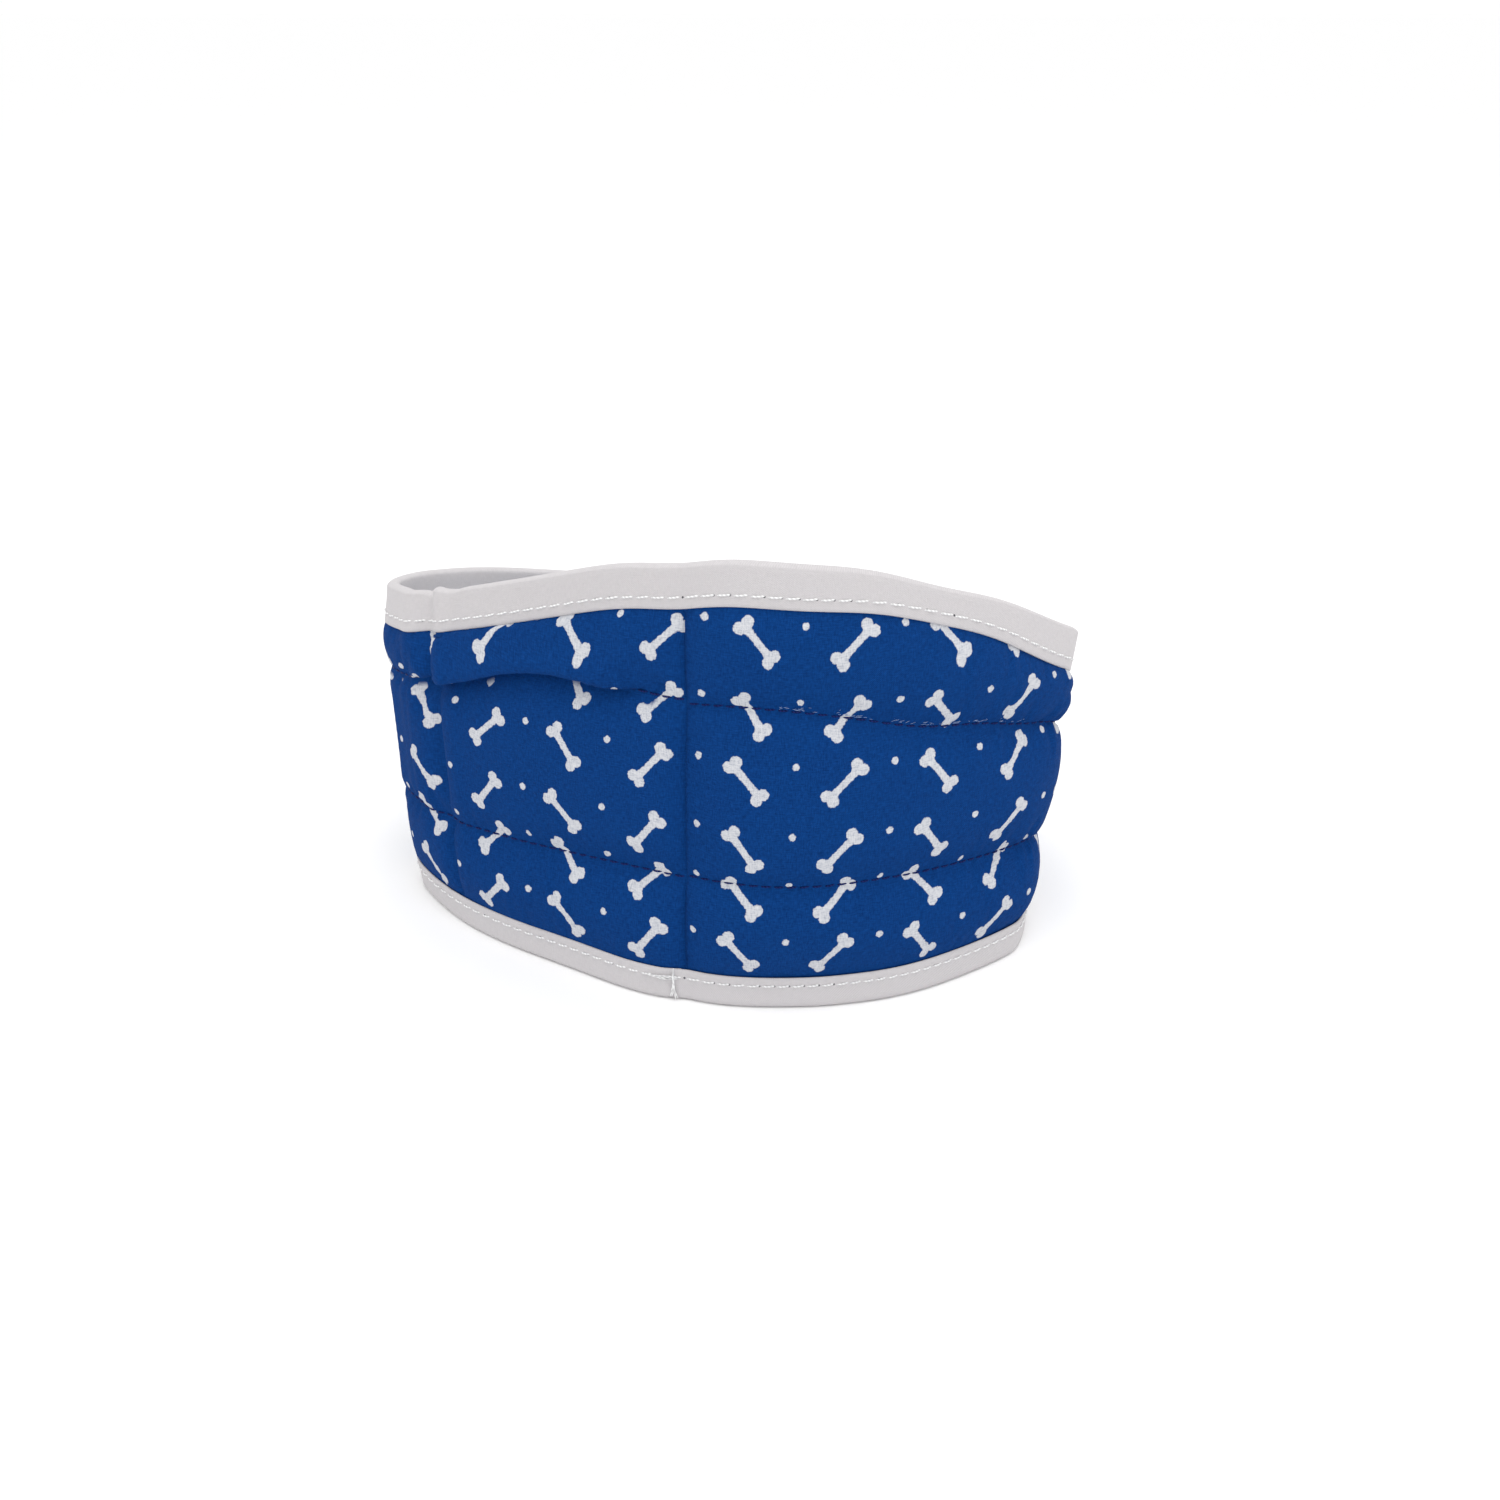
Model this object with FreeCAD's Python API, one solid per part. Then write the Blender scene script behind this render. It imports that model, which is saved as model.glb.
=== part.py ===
import FreeCAD, Part
import math
import os

# A soft neck-band recovery collar for a pet, standing on its lower edge as a closed ring.
# Two printed cotton panels meet at a vertical seam at the centre front. Each panel and the
# lining behind it form three stuffed channels. One folded tape binds the whole edge, and
# the band closes at the back with hook and loop tape.
#
# Millimetres. +Z is up, -Y is the front and +X is to the right as seen from the front.
# The walls are ruled between two plan curves, one on the floor and one above the band.

Vector = FreeCAD.Vector

# ---- driving dimensions: the two plan curves of the printed face ----
UPPER_LEVEL = 112.0          # height of the upper plan curve
LEVELS = (0.0, UPPER_LEVEL)

SEAM_POINT = {0.0: (-15.5, 5.4), UPPER_LEVEL: (-14.0, 16.6)}
RIGHT_HEADING = -31.0        # degrees, direction in which the right panel leaves the seam
LEFT_HEADING = 156.0         # the same for the left panel

NOSE_LENGTH = {0.0: 39.9, UPPER_LEVEL: 40.2}
NOSE_TURN = 50.6             # degrees that the right panel turns just beside the seam
FLANK_LENGTH = {0.0: 42.5, UPPER_LEVEL: 48.3}
FLANK_TURN = 7.0             # the left panel leaves the seam almost straight

LEFT_BEND_CENTRE = {0.0: (-72.0, 65.7), UPPER_LEVEL: (-78.2, 82.0)}
LEFT_BEND_RADIUS = 16.0
RIGHT_BEND_CENTRE = {0.0: (55.0, 35.0), UPPER_LEVEL: (73.0, 63.0)}
RIGHT_BEND_RADIUS = 13.0

CLOSURE_CENTRE = (-3.0, -70.0)
CLOSURE_RADIUS = 180.0       # the two ends of the band lie on this circle
CLOSURE_HALF_ANGLE = 8.0     # degrees each side of straight back
UNDERLAP_ANGLE = 14.4        # degrees that the right end runs on under the flap
FLAP_ANGLE = 13.4            # degrees that the flap runs on over the right end

# ---- driving dimensions: the edges and seams, as heights ----
BACK_HEIGHT = 66.0           # height that the top edge falls towards behind
FRONT_RISE = 42.0            # how much higher the top edge is at the front
RISE_CENTRE = 8.0            # Y where the top edge is highest
RISE_WIDTH = 34.4            # how quickly it falls away towards the back
SIDE_SLOPE = -0.065          # fall of the top edge per millimetre towards +X
LOWER_SEAM = 0.295           # quilting seams, as a part of the local height
UPPER_SEAM = 0.70
TOP_BINDING = 9.8            # visible width of the binding on the top edge
BOTTOM_BINDING = 8.0
TOP_STITCH_DROP = 7.2        # stitch line below the top edge
BOTTOM_STITCH_RISE = 6.0     # stitch line above the bottom edge

# ---- driving dimensions: layers, as offsets outward from the printed face ----
CLOTH = 0.6
COVER = (0.0, -CLOTH)
PAD = (-0.8, -5.6)
LINING = (-5.8, -5.8 - CLOTH)
TAPE = 0.7                   # thickness of the folded binding tape
LAYER_GAP = 0.1
THREAD = 0.35
BAND_INNER = LINING[1]

UNDERLAP_COVER = (-5.1, -5.7)
LOOP_TAPE = (-3.7, -5.0)
FLAP_LINING = (-0.7, -1.3)
HOOK_TAPE = (-1.4, -3.2)

THREAD_HEIGHT = 0.6
SEAM_ALLOWANCE = 1.2         # distance that a pad keeps from a quilting seam
PAD_END_GAP = 4.8            # distance that a pad keeps from the end of the padded band
BODY_GAP = 0.4               # gap between pieces on different bodies
SEAM_GAP = 0.15
WALL = 0.8                   # thickness of the cloth walls that step at the closure

TAPE_INSET = 3.5             # closure tapes from the end of the band
TAPE_LENGTH = 30.0
TAPE_MARGIN = 12.0           # closure tapes from the top and bottom edges
BOX_STITCH_INSET = 2.0

# ---- plan curves ----


def direction(degrees):
    return Vector(math.cos(math.radians(degrees)), math.sin(math.radians(degrees)), 0)


def plan_point(pair):
    return Vector(pair[0], pair[1], 0)


def angle_of(vector):
    return math.degrees(math.atan2(vector.y, vector.x))


class PlanArc:
    """One arc of a plan curve, from angle a0 to angle a1 about its centre."""

    def __init__(self, centre, radius, a0, a1):
        self.centre = centre
        self.radius = radius
        self.a0 = a0
        self.a1 = a1

    def length(self):
        return abs(math.radians(self.a1 - self.a0)) * self.radius

    def angle(self, part):
        return self.a0 + (self.a1 - self.a0) * part

    def point(self, part, offset=0.0):
        return self.centre + direction(self.angle(part)) * (self.radius + offset)


def turning_arc(start, heading, length, turn):
    """An arc that leaves start along heading and turns by turn degrees, left positive."""
    side = 1 if turn > 0 else -1
    radius = length / math.radians(abs(turn))
    centre = start + direction(heading + side * 90) * radius
    a0 = heading - side * 90
    return PlanArc(centre, radius, a0, a0 + turn)


def arc_onto_circle(start, heading, side, centre, radius):
    """An arc that leaves start along heading and ends tangent on a circle inside the turn."""
    normal = direction(heading + side * 90)
    away = start - centre
    own_radius = (radius ** 2 - away.dot(away)) / (2 * (normal.dot(away) + radius))
    own_centre = start + normal * own_radius
    a0 = heading - side * 90
    turn = (angle_of(centre - own_centre) - a0) * side % 360 * side
    return PlanArc(own_centre, own_radius, a0, a0 + turn)


def bend_between(centre, radius, a0, a1, side):
    return PlanArc(centre, radius, a0, a0 + (a1 - a0) * side % 360 * side)


def reversed_arc(arc):
    return PlanArc(arc.centre, arc.radius, arc.a1, arc.a0)


def half_band(level, first, side, bend_centre, bend_radius, extra_angle):
    """Five arcs from the front seam round one side to the end of that half."""
    start = first.point(1)
    second = arc_onto_circle(start, first.a1 + side * 90, side, bend_centre, bend_radius)
    closing_angle = 90 - side * CLOSURE_HALF_ANGLE
    closing_centre = plan_point(CLOSURE_CENTRE)
    closing_point = closing_centre + direction(closing_angle) * CLOSURE_RADIUS
    back = arc_onto_circle(closing_point, closing_angle - side * 90, -side, bend_centre, bend_radius)
    bend = bend_between(bend_centre, bend_radius, second.a1, back.a1, side)
    end = PlanArc(closing_centre, CLOSURE_RADIUS, closing_angle, closing_angle + side * extra_angle)
    return [first, second, bend, reversed_arc(back), end]


def right_half(level):
    first = turning_arc(plan_point(SEAM_POINT[level]), RIGHT_HEADING, NOSE_LENGTH[level], NOSE_TURN)
    centre = plan_point(RIGHT_BEND_CENTRE[level])
    return half_band(level, first, 1, centre, RIGHT_BEND_RADIUS, UNDERLAP_ANGLE)


def left_half(level):
    first = turning_arc(plan_point(SEAM_POINT[level]), LEFT_HEADING, FLANK_LENGTH[level], -FLANK_TURN)
    centre = plan_point(LEFT_BEND_CENTRE[level])
    return half_band(level, first, -1, centre, LEFT_BEND_RADIUS, FLAP_ANGLE)


PLAN = {
    "right": {level: right_half(level) for level in LEVELS},
    "left": {level: left_half(level) for level in LEVELS},
}

# Places along a half band are numbers: the whole part picks the arc, the rest is the way
# along it. These are the ones with a name.
SEAM = 0
FOLD = 2.5                   # middle of the left side bend, where the band swings open
BAND_END = 4                 # where the padded band stops and the thin end begins
TAIL_END = 5                 # free end of the flap or of the underlap


def shifted(side, place, distance):
    """The place that lies a distance in millimetres further along the half band."""
    index = min(int(place), TAIL_END - 1)
    if distance < 0 and place == index and index > 0:
        index -= 1
    return place + distance / PLAN[side][0.0][index].length()


def wall_point(side, place, height, offset):
    """A point of the ruled wall at a place, a height and an outward offset."""
    index = min(int(place), TAIL_END - 1)
    low, high = [PLAN[side][level][index].point(place - index, offset) for level in LEVELS]
    point = low + (high - low) * (height / UPPER_LEVEL)
    return Vector(point.x, point.y, height)


def clipped_arcs(side, level, start, stop):
    pieces = []
    for index, arc in enumerate(PLAN[side][level]):
        low = max(start, index)
        high = min(stop, index + 1)
        if high - low > 1e-6:
            pieces.append((arc, low - index, high - index))
    return pieces


def arc_edge(arc, low, high, offset, level):
    lift = Vector(0, 0, level)
    points = [arc.point(part, offset) + lift for part in (low, (low + high) / 2, high)]
    return Part.Arc(*points).toShape()


def slab(side, start, stop, layer):
    """A closed wall of the band between two places, between two offsets, over the full height."""
    outer, inner = layer
    wires = []
    for level in LEVELS:
        pieces = clipped_arcs(side, level, start, stop)
        outside = [arc_edge(arc, low, high, outer, level) for arc, low, high in pieces]
        inside = [arc_edge(arc, high, low, inner, level) for arc, low, high in reversed(pieces)]
        far_end = Part.LineSegment(outside[-1].lastVertex(True).Point, inside[0].firstVertex(True).Point)
        near_end = Part.LineSegment(inside[-1].lastVertex(True).Point, outside[0].firstVertex(True).Point)
        wires.append(Part.Wire(outside + [far_end.toShape()] + inside + [near_end.toShape()]))
    return Part.makeLoft(wires, True, True)


# ---- edges and seams ----
PROFILE_START = -40.0
PROFILE_END = 160.0
PROFILE_STEPS = 16
CUTTER_HALF = 140.0
CUTTER_DEPTH = -60.0


def edge_height(y):
    """Height of the top edge over the line X = 0."""
    return BACK_HEIGHT + FRONT_RISE / (1 + ((y - RISE_CENTRE) / RISE_WIDTH) ** 2)


def below(part, shift):
    """Everything under the surface at a part of the band's height, moved up by shift."""
    slope = SIDE_SLOPE * part
    start_x = -CUTTER_HALF
    points = []
    for step in range(PROFILE_STEPS + 1):
        y = PROFILE_START + (PROFILE_END - PROFILE_START) * step / PROFILE_STEPS
        points.append(Vector(start_x, y, part * edge_height(y) + shift + slope * start_x))
    curve = Part.BSplineCurve()
    curve.interpolate(points)
    floor_start = Vector(start_x, PROFILE_START, CUTTER_DEPTH)
    floor_end = Vector(start_x, PROFILE_END, CUTTER_DEPTH)
    lines = [(points[-1], floor_end), (floor_end, floor_start), (floor_start, points[0])]
    edges = [curve.toShape()] + [Part.LineSegment(a, b).toShape() for a, b in lines]
    face = Part.Face(Part.Wire(edges))
    return face.extrude(Vector(2 * CUTTER_HALF, 0, 2 * CUTTER_HALF * slope))


CUTTERS = {}


def cutter(limit):
    """The solid under a limit, which is (part of the height, shift), made once."""
    if limit not in CUTTERS:
        CUTTERS[limit] = below(*limit)
    return CUTTERS[limit]


def between(shape, low, high):
    """The part of a shape over the low limit and under the high one."""
    return shape.common(cutter(high)).cut(cutter(low))


FLOOR = (0.0, 0.0)
TOP = (1.0, 0.0)


def above_floor(rise):
    return (0.0, rise)


def under_top(drop):
    return (1.0, -drop)


CLOTH_LOW = above_floor(TAPE + LAYER_GAP)
CLOTH_HIGH = under_top(TAPE + LAYER_GAP)

# ---- cloth, padding, tape and thread ----


def cloth(side, start, stop, layer):
    return between(slab(side, start, stop, layer), CLOTH_LOW, CLOTH_HIGH)


def joined(shapes):
    result = shapes[0]
    for shape in shapes[1:]:
        result = result.fuse(shape)
    return result.removeSplitter()


def stepped_cloth(side, band, tail, start):
    """Cloth of the padded band that steps over to the layer of the thin tail."""
    wall_start = shifted(side, BAND_END, -WALL)
    outer = max(band[0], tail[0])
    inner = min(band[1], tail[1])
    pieces = [slab(side, start, BAND_END, band)]
    pieces.append(slab(side, wall_start, BAND_END, (outer, inner)))
    pieces.append(slab(side, BAND_END, shifted(side, TAIL_END, -TAPE - LAYER_GAP), tail))
    return between(joined(pieces), CLOTH_LOW, CLOTH_HIGH)


CHANNELS = {
    "lower": (above_floor(BOTTOM_BINDING), (LOWER_SEAM, -SEAM_ALLOWANCE)),
    "middle": ((LOWER_SEAM, SEAM_ALLOWANCE), (UPPER_SEAM, -SEAM_ALLOWANCE)),
    "upper": ((UPPER_SEAM, SEAM_ALLOWANCE), under_top(TOP_BINDING)),
}


def channel_pad(side, channel, start, stop):
    return between(slab(side, start, stop, PAD), *CHANNELS[channel])


def tape_layer(cover, lining):
    """Offsets of the tape outside a pair of cloths, and of the space for them inside it."""
    outside = (cover[0] + LAYER_GAP + TAPE, lining[1] - LAYER_GAP - TAPE)
    inside = (cover[0] + LAYER_GAP, lining[1] - LAYER_GAP)
    return outside, inside


BAND_TAPE = tape_layer(COVER, LINING)
UNDERLAP_TAPE = tape_layer(UNDERLAP_COVER, LINING)
FLAP_TAPE = tape_layer(COVER, FLAP_LINING)


def tape_shells(side, stretches):
    """The outside of a tape and the space in it, over stretches of (start, stop, layers)."""
    outside = joined([slab(side, start, stop, layers[0]) for start, stop, layers in stretches])
    inside = joined([slab(side, start, stop, layers[1]) for start, stop, layers in stretches])
    return outside, inside


def top_tape(side, stretches):
    outside, inside = tape_shells(side, stretches)
    return between(outside, under_top(TOP_BINDING), TOP).cut(inside.common(cutter(under_top(TAPE))))


def bottom_tape(side, stretches):
    outside, inside = tape_shells(side, stretches)
    return between(outside, FLOOR, above_floor(BOTTOM_BINDING)).cut(inside.cut(cutter(above_floor(TAPE))))


def end_tape(side, layers):
    """The upright length of tape over the free end, between the top and bottom tapes."""
    outside = slab(side, shifted(side, TAIL_END, -BOTTOM_BINDING), TAIL_END, layers[0])
    inside = slab(side, shifted(side, TAIL_END, -BOTTOM_BINDING), shifted(side, TAIL_END, -TAPE), layers[1])
    low = above_floor(BOTTOM_BINDING + LAYER_GAP)
    high = under_top(TOP_BINDING + LAYER_GAP)
    return between(outside.cut(inside), low, high)


def thread_line(side, stretches, centre_line):
    """Thread on both faces of the band along a seam, over stretches of (start, stop, faces)."""
    part, shift = centre_line
    low = (part, shift - THREAD_HEIGHT / 2)
    high = (part, shift + THREAD_HEIGHT / 2)
    threads = []
    for start, stop, faces in stretches:
        outer, inner = faces
        outer_thread = (outer + LAYER_GAP + THREAD, outer + LAYER_GAP)
        inner_thread = (inner - LAYER_GAP, inner - LAYER_GAP - THREAD)
        for layer in (outer_thread, inner_thread):
            threads.append(between(slab(side, start, stop, layer), low, high))
    return Part.makeCompound(threads)


def box_stitch(side, start, stop, layer, low, high):
    """A rectangle of thread round a closure tape, on its face."""
    outside = between(slab(side, start, stop, layer), low, high)
    inner_start = shifted(side, start, THREAD_HEIGHT)
    inner_stop = shifted(side, stop, -THREAD_HEIGHT)
    inner_low = (low[0], low[1] + THREAD_HEIGHT)
    inner_high = (high[0], high[1] - THREAD_HEIGHT)
    return outside.cut(between(slab(side, inner_start, inner_stop, layer), inner_low, inner_high))


BAND_FACES = (COVER[0], LINING[1])
TAPE_FACES = BAND_TAPE[0]
FLAP_FACES = FLAP_TAPE[0]
UNDERLAP_FACES = UNDERLAP_TAPE[0]
TOP_STITCH = under_top(TOP_STITCH_DROP)
BOTTOM_STITCH = above_floor(BOTTOM_STITCH_RISE)

PARTS = {}

# ---- the fixed part of the band: right half, and left half as far as its side fold ----
SEAM_START = {side: shifted(side, SEAM, SEAM_GAP) for side in PLAN}
FOLD_BEFORE = shifted("left", FOLD, -BODY_GAP)
FOLD_AFTER = shifted("left", FOLD, BODY_GAP)
PAD_START = {side: shifted(side, SEAM, SEAM_ALLOWANCE) for side in PLAN}
PAD_STOP = {side: shifted(side, BAND_END, -PAD_END_GAP) for side in PLAN}
FOLD_CLEAR = 4.0             # the pads stop short of the side fold, so that it can bend

RIGHT_RUN = [(SEAM_START["right"], BAND_END, BAND_TAPE), (BAND_END, TAIL_END, UNDERLAP_TAPE)]
LEFT_RUN = [(SEAM_START["left"], FOLD_BEFORE, BAND_TAPE)]
FLAP_START = shifted("left", BAND_END, BODY_GAP)
FLAP_RUN = [(FLAP_START, TAIL_END, FLAP_TAPE)]
END_STITCH = shifted("right", TAIL_END, -BOTTOM_STITCH_RISE)

PARTS["cover_panel_right"] = stepped_cloth("right", COVER, UNDERLAP_COVER, SEAM_START["right"])
PARTS["cover_panel_left_front"] = cloth("left", SEAM_START["left"], FOLD_BEFORE, COVER)
UNDERLAP_CLOTH_END = shifted("right", TAIL_END, -TAPE - LAYER_GAP)
PARTS["lining_right"] = cloth("right", SEAM_START["right"], UNDERLAP_CLOTH_END, LINING)
PARTS["lining_left_front"] = cloth("left", SEAM_START["left"], FOLD_BEFORE, LINING)
for channel in CHANNELS:
    PARTS["pad_%s_right" % channel] = channel_pad("right", channel, PAD_START["right"], PAD_STOP["right"])
    front_stop = shifted("left", FOLD, -FOLD_CLEAR)
    PARTS["pad_%s_left_front" % channel] = channel_pad("left", channel, PAD_START["left"], front_stop)
PARTS["binding_top_right"] = top_tape("right", RIGHT_RUN)
PARTS["binding_top_left_front"] = top_tape("left", LEFT_RUN)
PARTS["binding_bottom_right"] = bottom_tape("right", RIGHT_RUN)
PARTS["binding_bottom_left_front"] = bottom_tape("left", LEFT_RUN)
PARTS["binding_end_underlap"] = end_tape("right", UNDERLAP_TAPE)

RIGHT_STITCHES = [(SEAM_START["right"], BAND_END, TAPE_FACES), (BAND_END, END_STITCH, UNDERLAP_FACES)]
LEFT_STITCHES = [(SEAM_START["left"], FOLD_BEFORE, TAPE_FACES)]
RIGHT_QUILTING = [(SEAM_START["right"], BAND_END, BAND_FACES)]
LEFT_QUILTING = [(SEAM_START["left"], FOLD_BEFORE, BAND_FACES)]
for name, line in (("top", TOP_STITCH), ("bottom", BOTTOM_STITCH)):
    PARTS["topstitch_%s_right" % name] = thread_line("right", RIGHT_STITCHES, line)
    PARTS["topstitch_%s_left_front" % name] = thread_line("left", LEFT_STITCHES, line)
for name, part in (("upper", UPPER_SEAM), ("lower", LOWER_SEAM)):
    PARTS["quilting_%s_right" % name] = thread_line("right", RIGHT_QUILTING, (part, 0.0))
    PARTS["quilting_%s_left_front" % name] = thread_line("left", LEFT_QUILTING, (part, 0.0))

SEAM_THREAD_WIDTH = 0.5
seam_thread_stop = shifted("right", SEAM, SEAM_GAP + SEAM_THREAD_WIDTH)
seam_thread = slab("right", SEAM_START["right"], seam_thread_stop, (LAYER_GAP + THREAD, LAYER_GAP))
for part in (LOWER_SEAM, UPPER_SEAM):
    seam_thread = seam_thread.cut(between(seam_thread, (part, -THREAD_HEIGHT), (part, THREAD_HEIGHT)))
seam_low = above_floor(BOTTOM_BINDING + LAYER_GAP)
seam_high = under_top(TOP_BINDING + LAYER_GAP)
PARTS["centre_seam_thread"] = between(seam_thread, seam_low, seam_high)

JOIN_FROM_SEAM = 2.0         # the ends of the tape meet this far from the front seam
BACKTACK_LENGTH = 1.0
backtack_faces = (TAPE_FACES[0] + LAYER_GAP + THREAD, TAPE_FACES[0] + LAYER_GAP)
backtack_start = shifted("left", SEAM, JOIN_FROM_SEAM)
backtack_stop = shifted("left", SEAM, JOIN_FROM_SEAM + BACKTACK_LENGTH)
backtack = slab("left", backtack_start, backtack_stop, backtack_faces)
backtack_high = above_floor(BOTTOM_STITCH_RISE - THREAD_HEIGHT)
PARTS["binding_join_backtack"] = between(backtack, above_floor(TAPE), backtack_high)

loop_stop = shifted("right", TAIL_END, -BOTTOM_BINDING - LAYER_GAP)
loop_start = shifted("right", TAIL_END, -BOTTOM_BINDING - LAYER_GAP - TAPE_LENGTH)
TAPE_LOW = above_floor(TAPE_MARGIN)
TAPE_HIGH = under_top(TAPE_MARGIN)
PARTS["loop_tape"] = between(slab("right", loop_start, loop_stop, LOOP_TAPE), TAPE_LOW, TAPE_HIGH)

# ---- the left rear of the band, which swings open at the side fold ----
rear_wall_start = shifted("left", BAND_END, -WALL - BODY_GAP)
rear_stop = shifted("left", BAND_END, -BODY_GAP)
PARTS["cover_panel_left_rear"] = cloth("left", FOLD_AFTER, rear_stop, COVER)
rear_lining = [slab("left", FOLD_AFTER, rear_stop, LINING)]
rear_lining.append(slab("left", rear_wall_start, rear_stop, (FLAP_LINING[0] - LAYER_GAP, LINING[1])))
PARTS["lining_left_rear"] = between(joined(rear_lining), CLOTH_LOW, CLOTH_HIGH)
for channel in CHANNELS:
    rear_start = shifted("left", FOLD, FOLD_CLEAR)
    PARTS["pad_%s_left_rear" % channel] = channel_pad("left", channel, rear_start, PAD_STOP["left"])
REAR_RUN = [(FOLD_AFTER, rear_stop, BAND_TAPE)]
PARTS["binding_top_left_rear"] = top_tape("left", REAR_RUN)
PARTS["binding_bottom_left_rear"] = bottom_tape("left", REAR_RUN)
REAR_STITCHES = [(FOLD_AFTER, rear_stop, TAPE_FACES)]
REAR_QUILTING = [(FOLD_AFTER, rear_stop, BAND_FACES)]
for name, line in (("top", TOP_STITCH), ("bottom", BOTTOM_STITCH)):
    PARTS["topstitch_%s_left_rear" % name] = thread_line("left", REAR_STITCHES, line)
for name, part in (("upper", UPPER_SEAM), ("lower", LOWER_SEAM)):
    PARTS["quilting_%s_left_rear" % name] = thread_line("left", REAR_QUILTING, (part, 0.0))

# ---- the closure flap, which peels off the underlap ----
flap_cloth_end = shifted("left", TAIL_END, -TAPE - LAYER_GAP)
PARTS["flap_cover"] = cloth("left", FLAP_START, flap_cloth_end, COVER)
PARTS["flap_lining"] = cloth("left", FLAP_START, flap_cloth_end, FLAP_LINING)
PARTS["binding_top_flap"] = top_tape("left", FLAP_RUN)
PARTS["binding_bottom_flap"] = bottom_tape("left", FLAP_RUN)
PARTS["binding_end_flap"] = end_tape("left", FLAP_TAPE)
hook_stop = shifted("left", TAIL_END, -BOTTOM_BINDING - LAYER_GAP)
hook_start = shifted("left", TAIL_END, -BOTTOM_BINDING - LAYER_GAP - TAPE_LENGTH)
PARTS["hook_tape"] = between(slab("left", hook_start, hook_stop, HOOK_TAPE), TAPE_LOW, TAPE_HIGH)

FLAP_STITCHES = [(FLAP_START, shifted("left", TAIL_END, -BOTTOM_STITCH_RISE), FLAP_FACES)]
for name, line in (("top", TOP_STITCH), ("bottom", BOTTOM_STITCH)):
    PARTS["topstitch_%s_flap" % name] = thread_line("left", FLAP_STITCHES, line)
stitch_low = above_floor(TAPE_MARGIN + BOX_STITCH_INSET)
stitch_high = under_top(TAPE_MARGIN + BOX_STITCH_INSET)
box_start = shifted("left", hook_start, BOX_STITCH_INSET)
box_stop = shifted("left", hook_stop, -BOX_STITCH_INSET)
box_layer = (COVER[0] + LAYER_GAP + THREAD, COVER[0] + LAYER_GAP)
PARTS["hook_tape_stitching"] = box_stitch("left", box_start, box_stop, box_layer, stitch_low, stitch_high)
box_start = shifted("right", loop_start, BOX_STITCH_INSET)
box_stop = shifted("right", loop_stop, -BOX_STITCH_INSET)
box_layer = (BAND_INNER - LAYER_GAP, BAND_INNER - LAYER_GAP - THREAD)
PARTS["loop_tape_stitching"] = box_stitch("right", box_start, box_stop, box_layer, stitch_low, stitch_high)

# ---- frame: origin on the floor in the middle of the footprint ----
whole = Part.makeCompound(list(PARTS.values())).optimalBoundingBox(False)
ORIGIN = Vector(whole.Center.x, whole.Center.y, 0)

os.makedirs("parts", exist_ok=True)
for name, shape in PARTS.items():
    moved = shape.copy()
    moved.translate(-ORIGIN)
    moved.exportStep("parts/%s.step" % name)

# ---- hinge lines, upright, just outside the outermost thread ----
HINGE_CLEARANCE = 0.2
HINGE_OFFSET = TAPE_FACES[0] + LAYER_GAP + THREAD + HINGE_CLEARANCE
FOLD_HINGE_HEIGHT = 40.0     # the fold leans, and the upright hinge crosses it at mid height
fold_hinge = wall_point("left", FOLD, FOLD_HINGE_HEIGHT, HINGE_OFFSET) - ORIGIN
flap_hinge = wall_point("left", BAND_END, 0.0, HINGE_OFFSET) - ORIGIN

print("size %.2f x %.2f x %.2f" % (whole.XLength, whole.YLength, whole.ZLength))
print("origin in the plan's own numbers %.3f %.3f" % (ORIGIN.x, ORIGIN.y))
print("fold hinge %.3f %.3f, flap hinge %.3f %.3f" % (fold_hinge.x, fold_hinge.y, flap_hinge.x, flap_hinge.y))
for side in PLAN:
    lengths = [sum(arc.length() for arc in PLAN[side][level]) for level in LEVELS]
    print("%s half is %.1f long at the bottom curve and %.1f at the top one" % (side, *lengths))
for name, shape in PARTS.items():
    print("%-30s solids %d valid %s volume %.1f" % (name, len(shape.Solids), shape.isValid(), shape.Volume))
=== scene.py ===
import math

import bpy
import numpy as np
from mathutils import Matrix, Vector


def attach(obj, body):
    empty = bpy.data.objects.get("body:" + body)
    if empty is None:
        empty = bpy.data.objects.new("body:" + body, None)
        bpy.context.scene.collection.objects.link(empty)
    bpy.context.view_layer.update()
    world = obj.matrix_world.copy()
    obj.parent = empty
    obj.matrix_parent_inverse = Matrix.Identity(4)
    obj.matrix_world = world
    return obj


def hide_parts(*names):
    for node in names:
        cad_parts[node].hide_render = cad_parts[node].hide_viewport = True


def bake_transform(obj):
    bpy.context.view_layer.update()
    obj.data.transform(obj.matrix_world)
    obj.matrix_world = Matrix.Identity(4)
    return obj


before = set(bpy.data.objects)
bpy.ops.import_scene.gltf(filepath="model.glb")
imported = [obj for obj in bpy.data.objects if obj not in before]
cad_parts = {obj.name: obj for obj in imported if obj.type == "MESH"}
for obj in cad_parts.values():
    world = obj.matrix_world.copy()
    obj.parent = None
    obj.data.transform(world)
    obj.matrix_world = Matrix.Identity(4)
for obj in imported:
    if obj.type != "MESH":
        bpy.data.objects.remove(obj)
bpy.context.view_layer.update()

# A soft neck-band recovery collar. Lengths are millimetres until a mesh is made.
# A point of the band is named by s, the length of cloth from the front seam at mid height
# (positive round the right side, negative round the left), by its height over the floor,
# and by its offset outward from the printed face.
MM = 0.001

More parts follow.
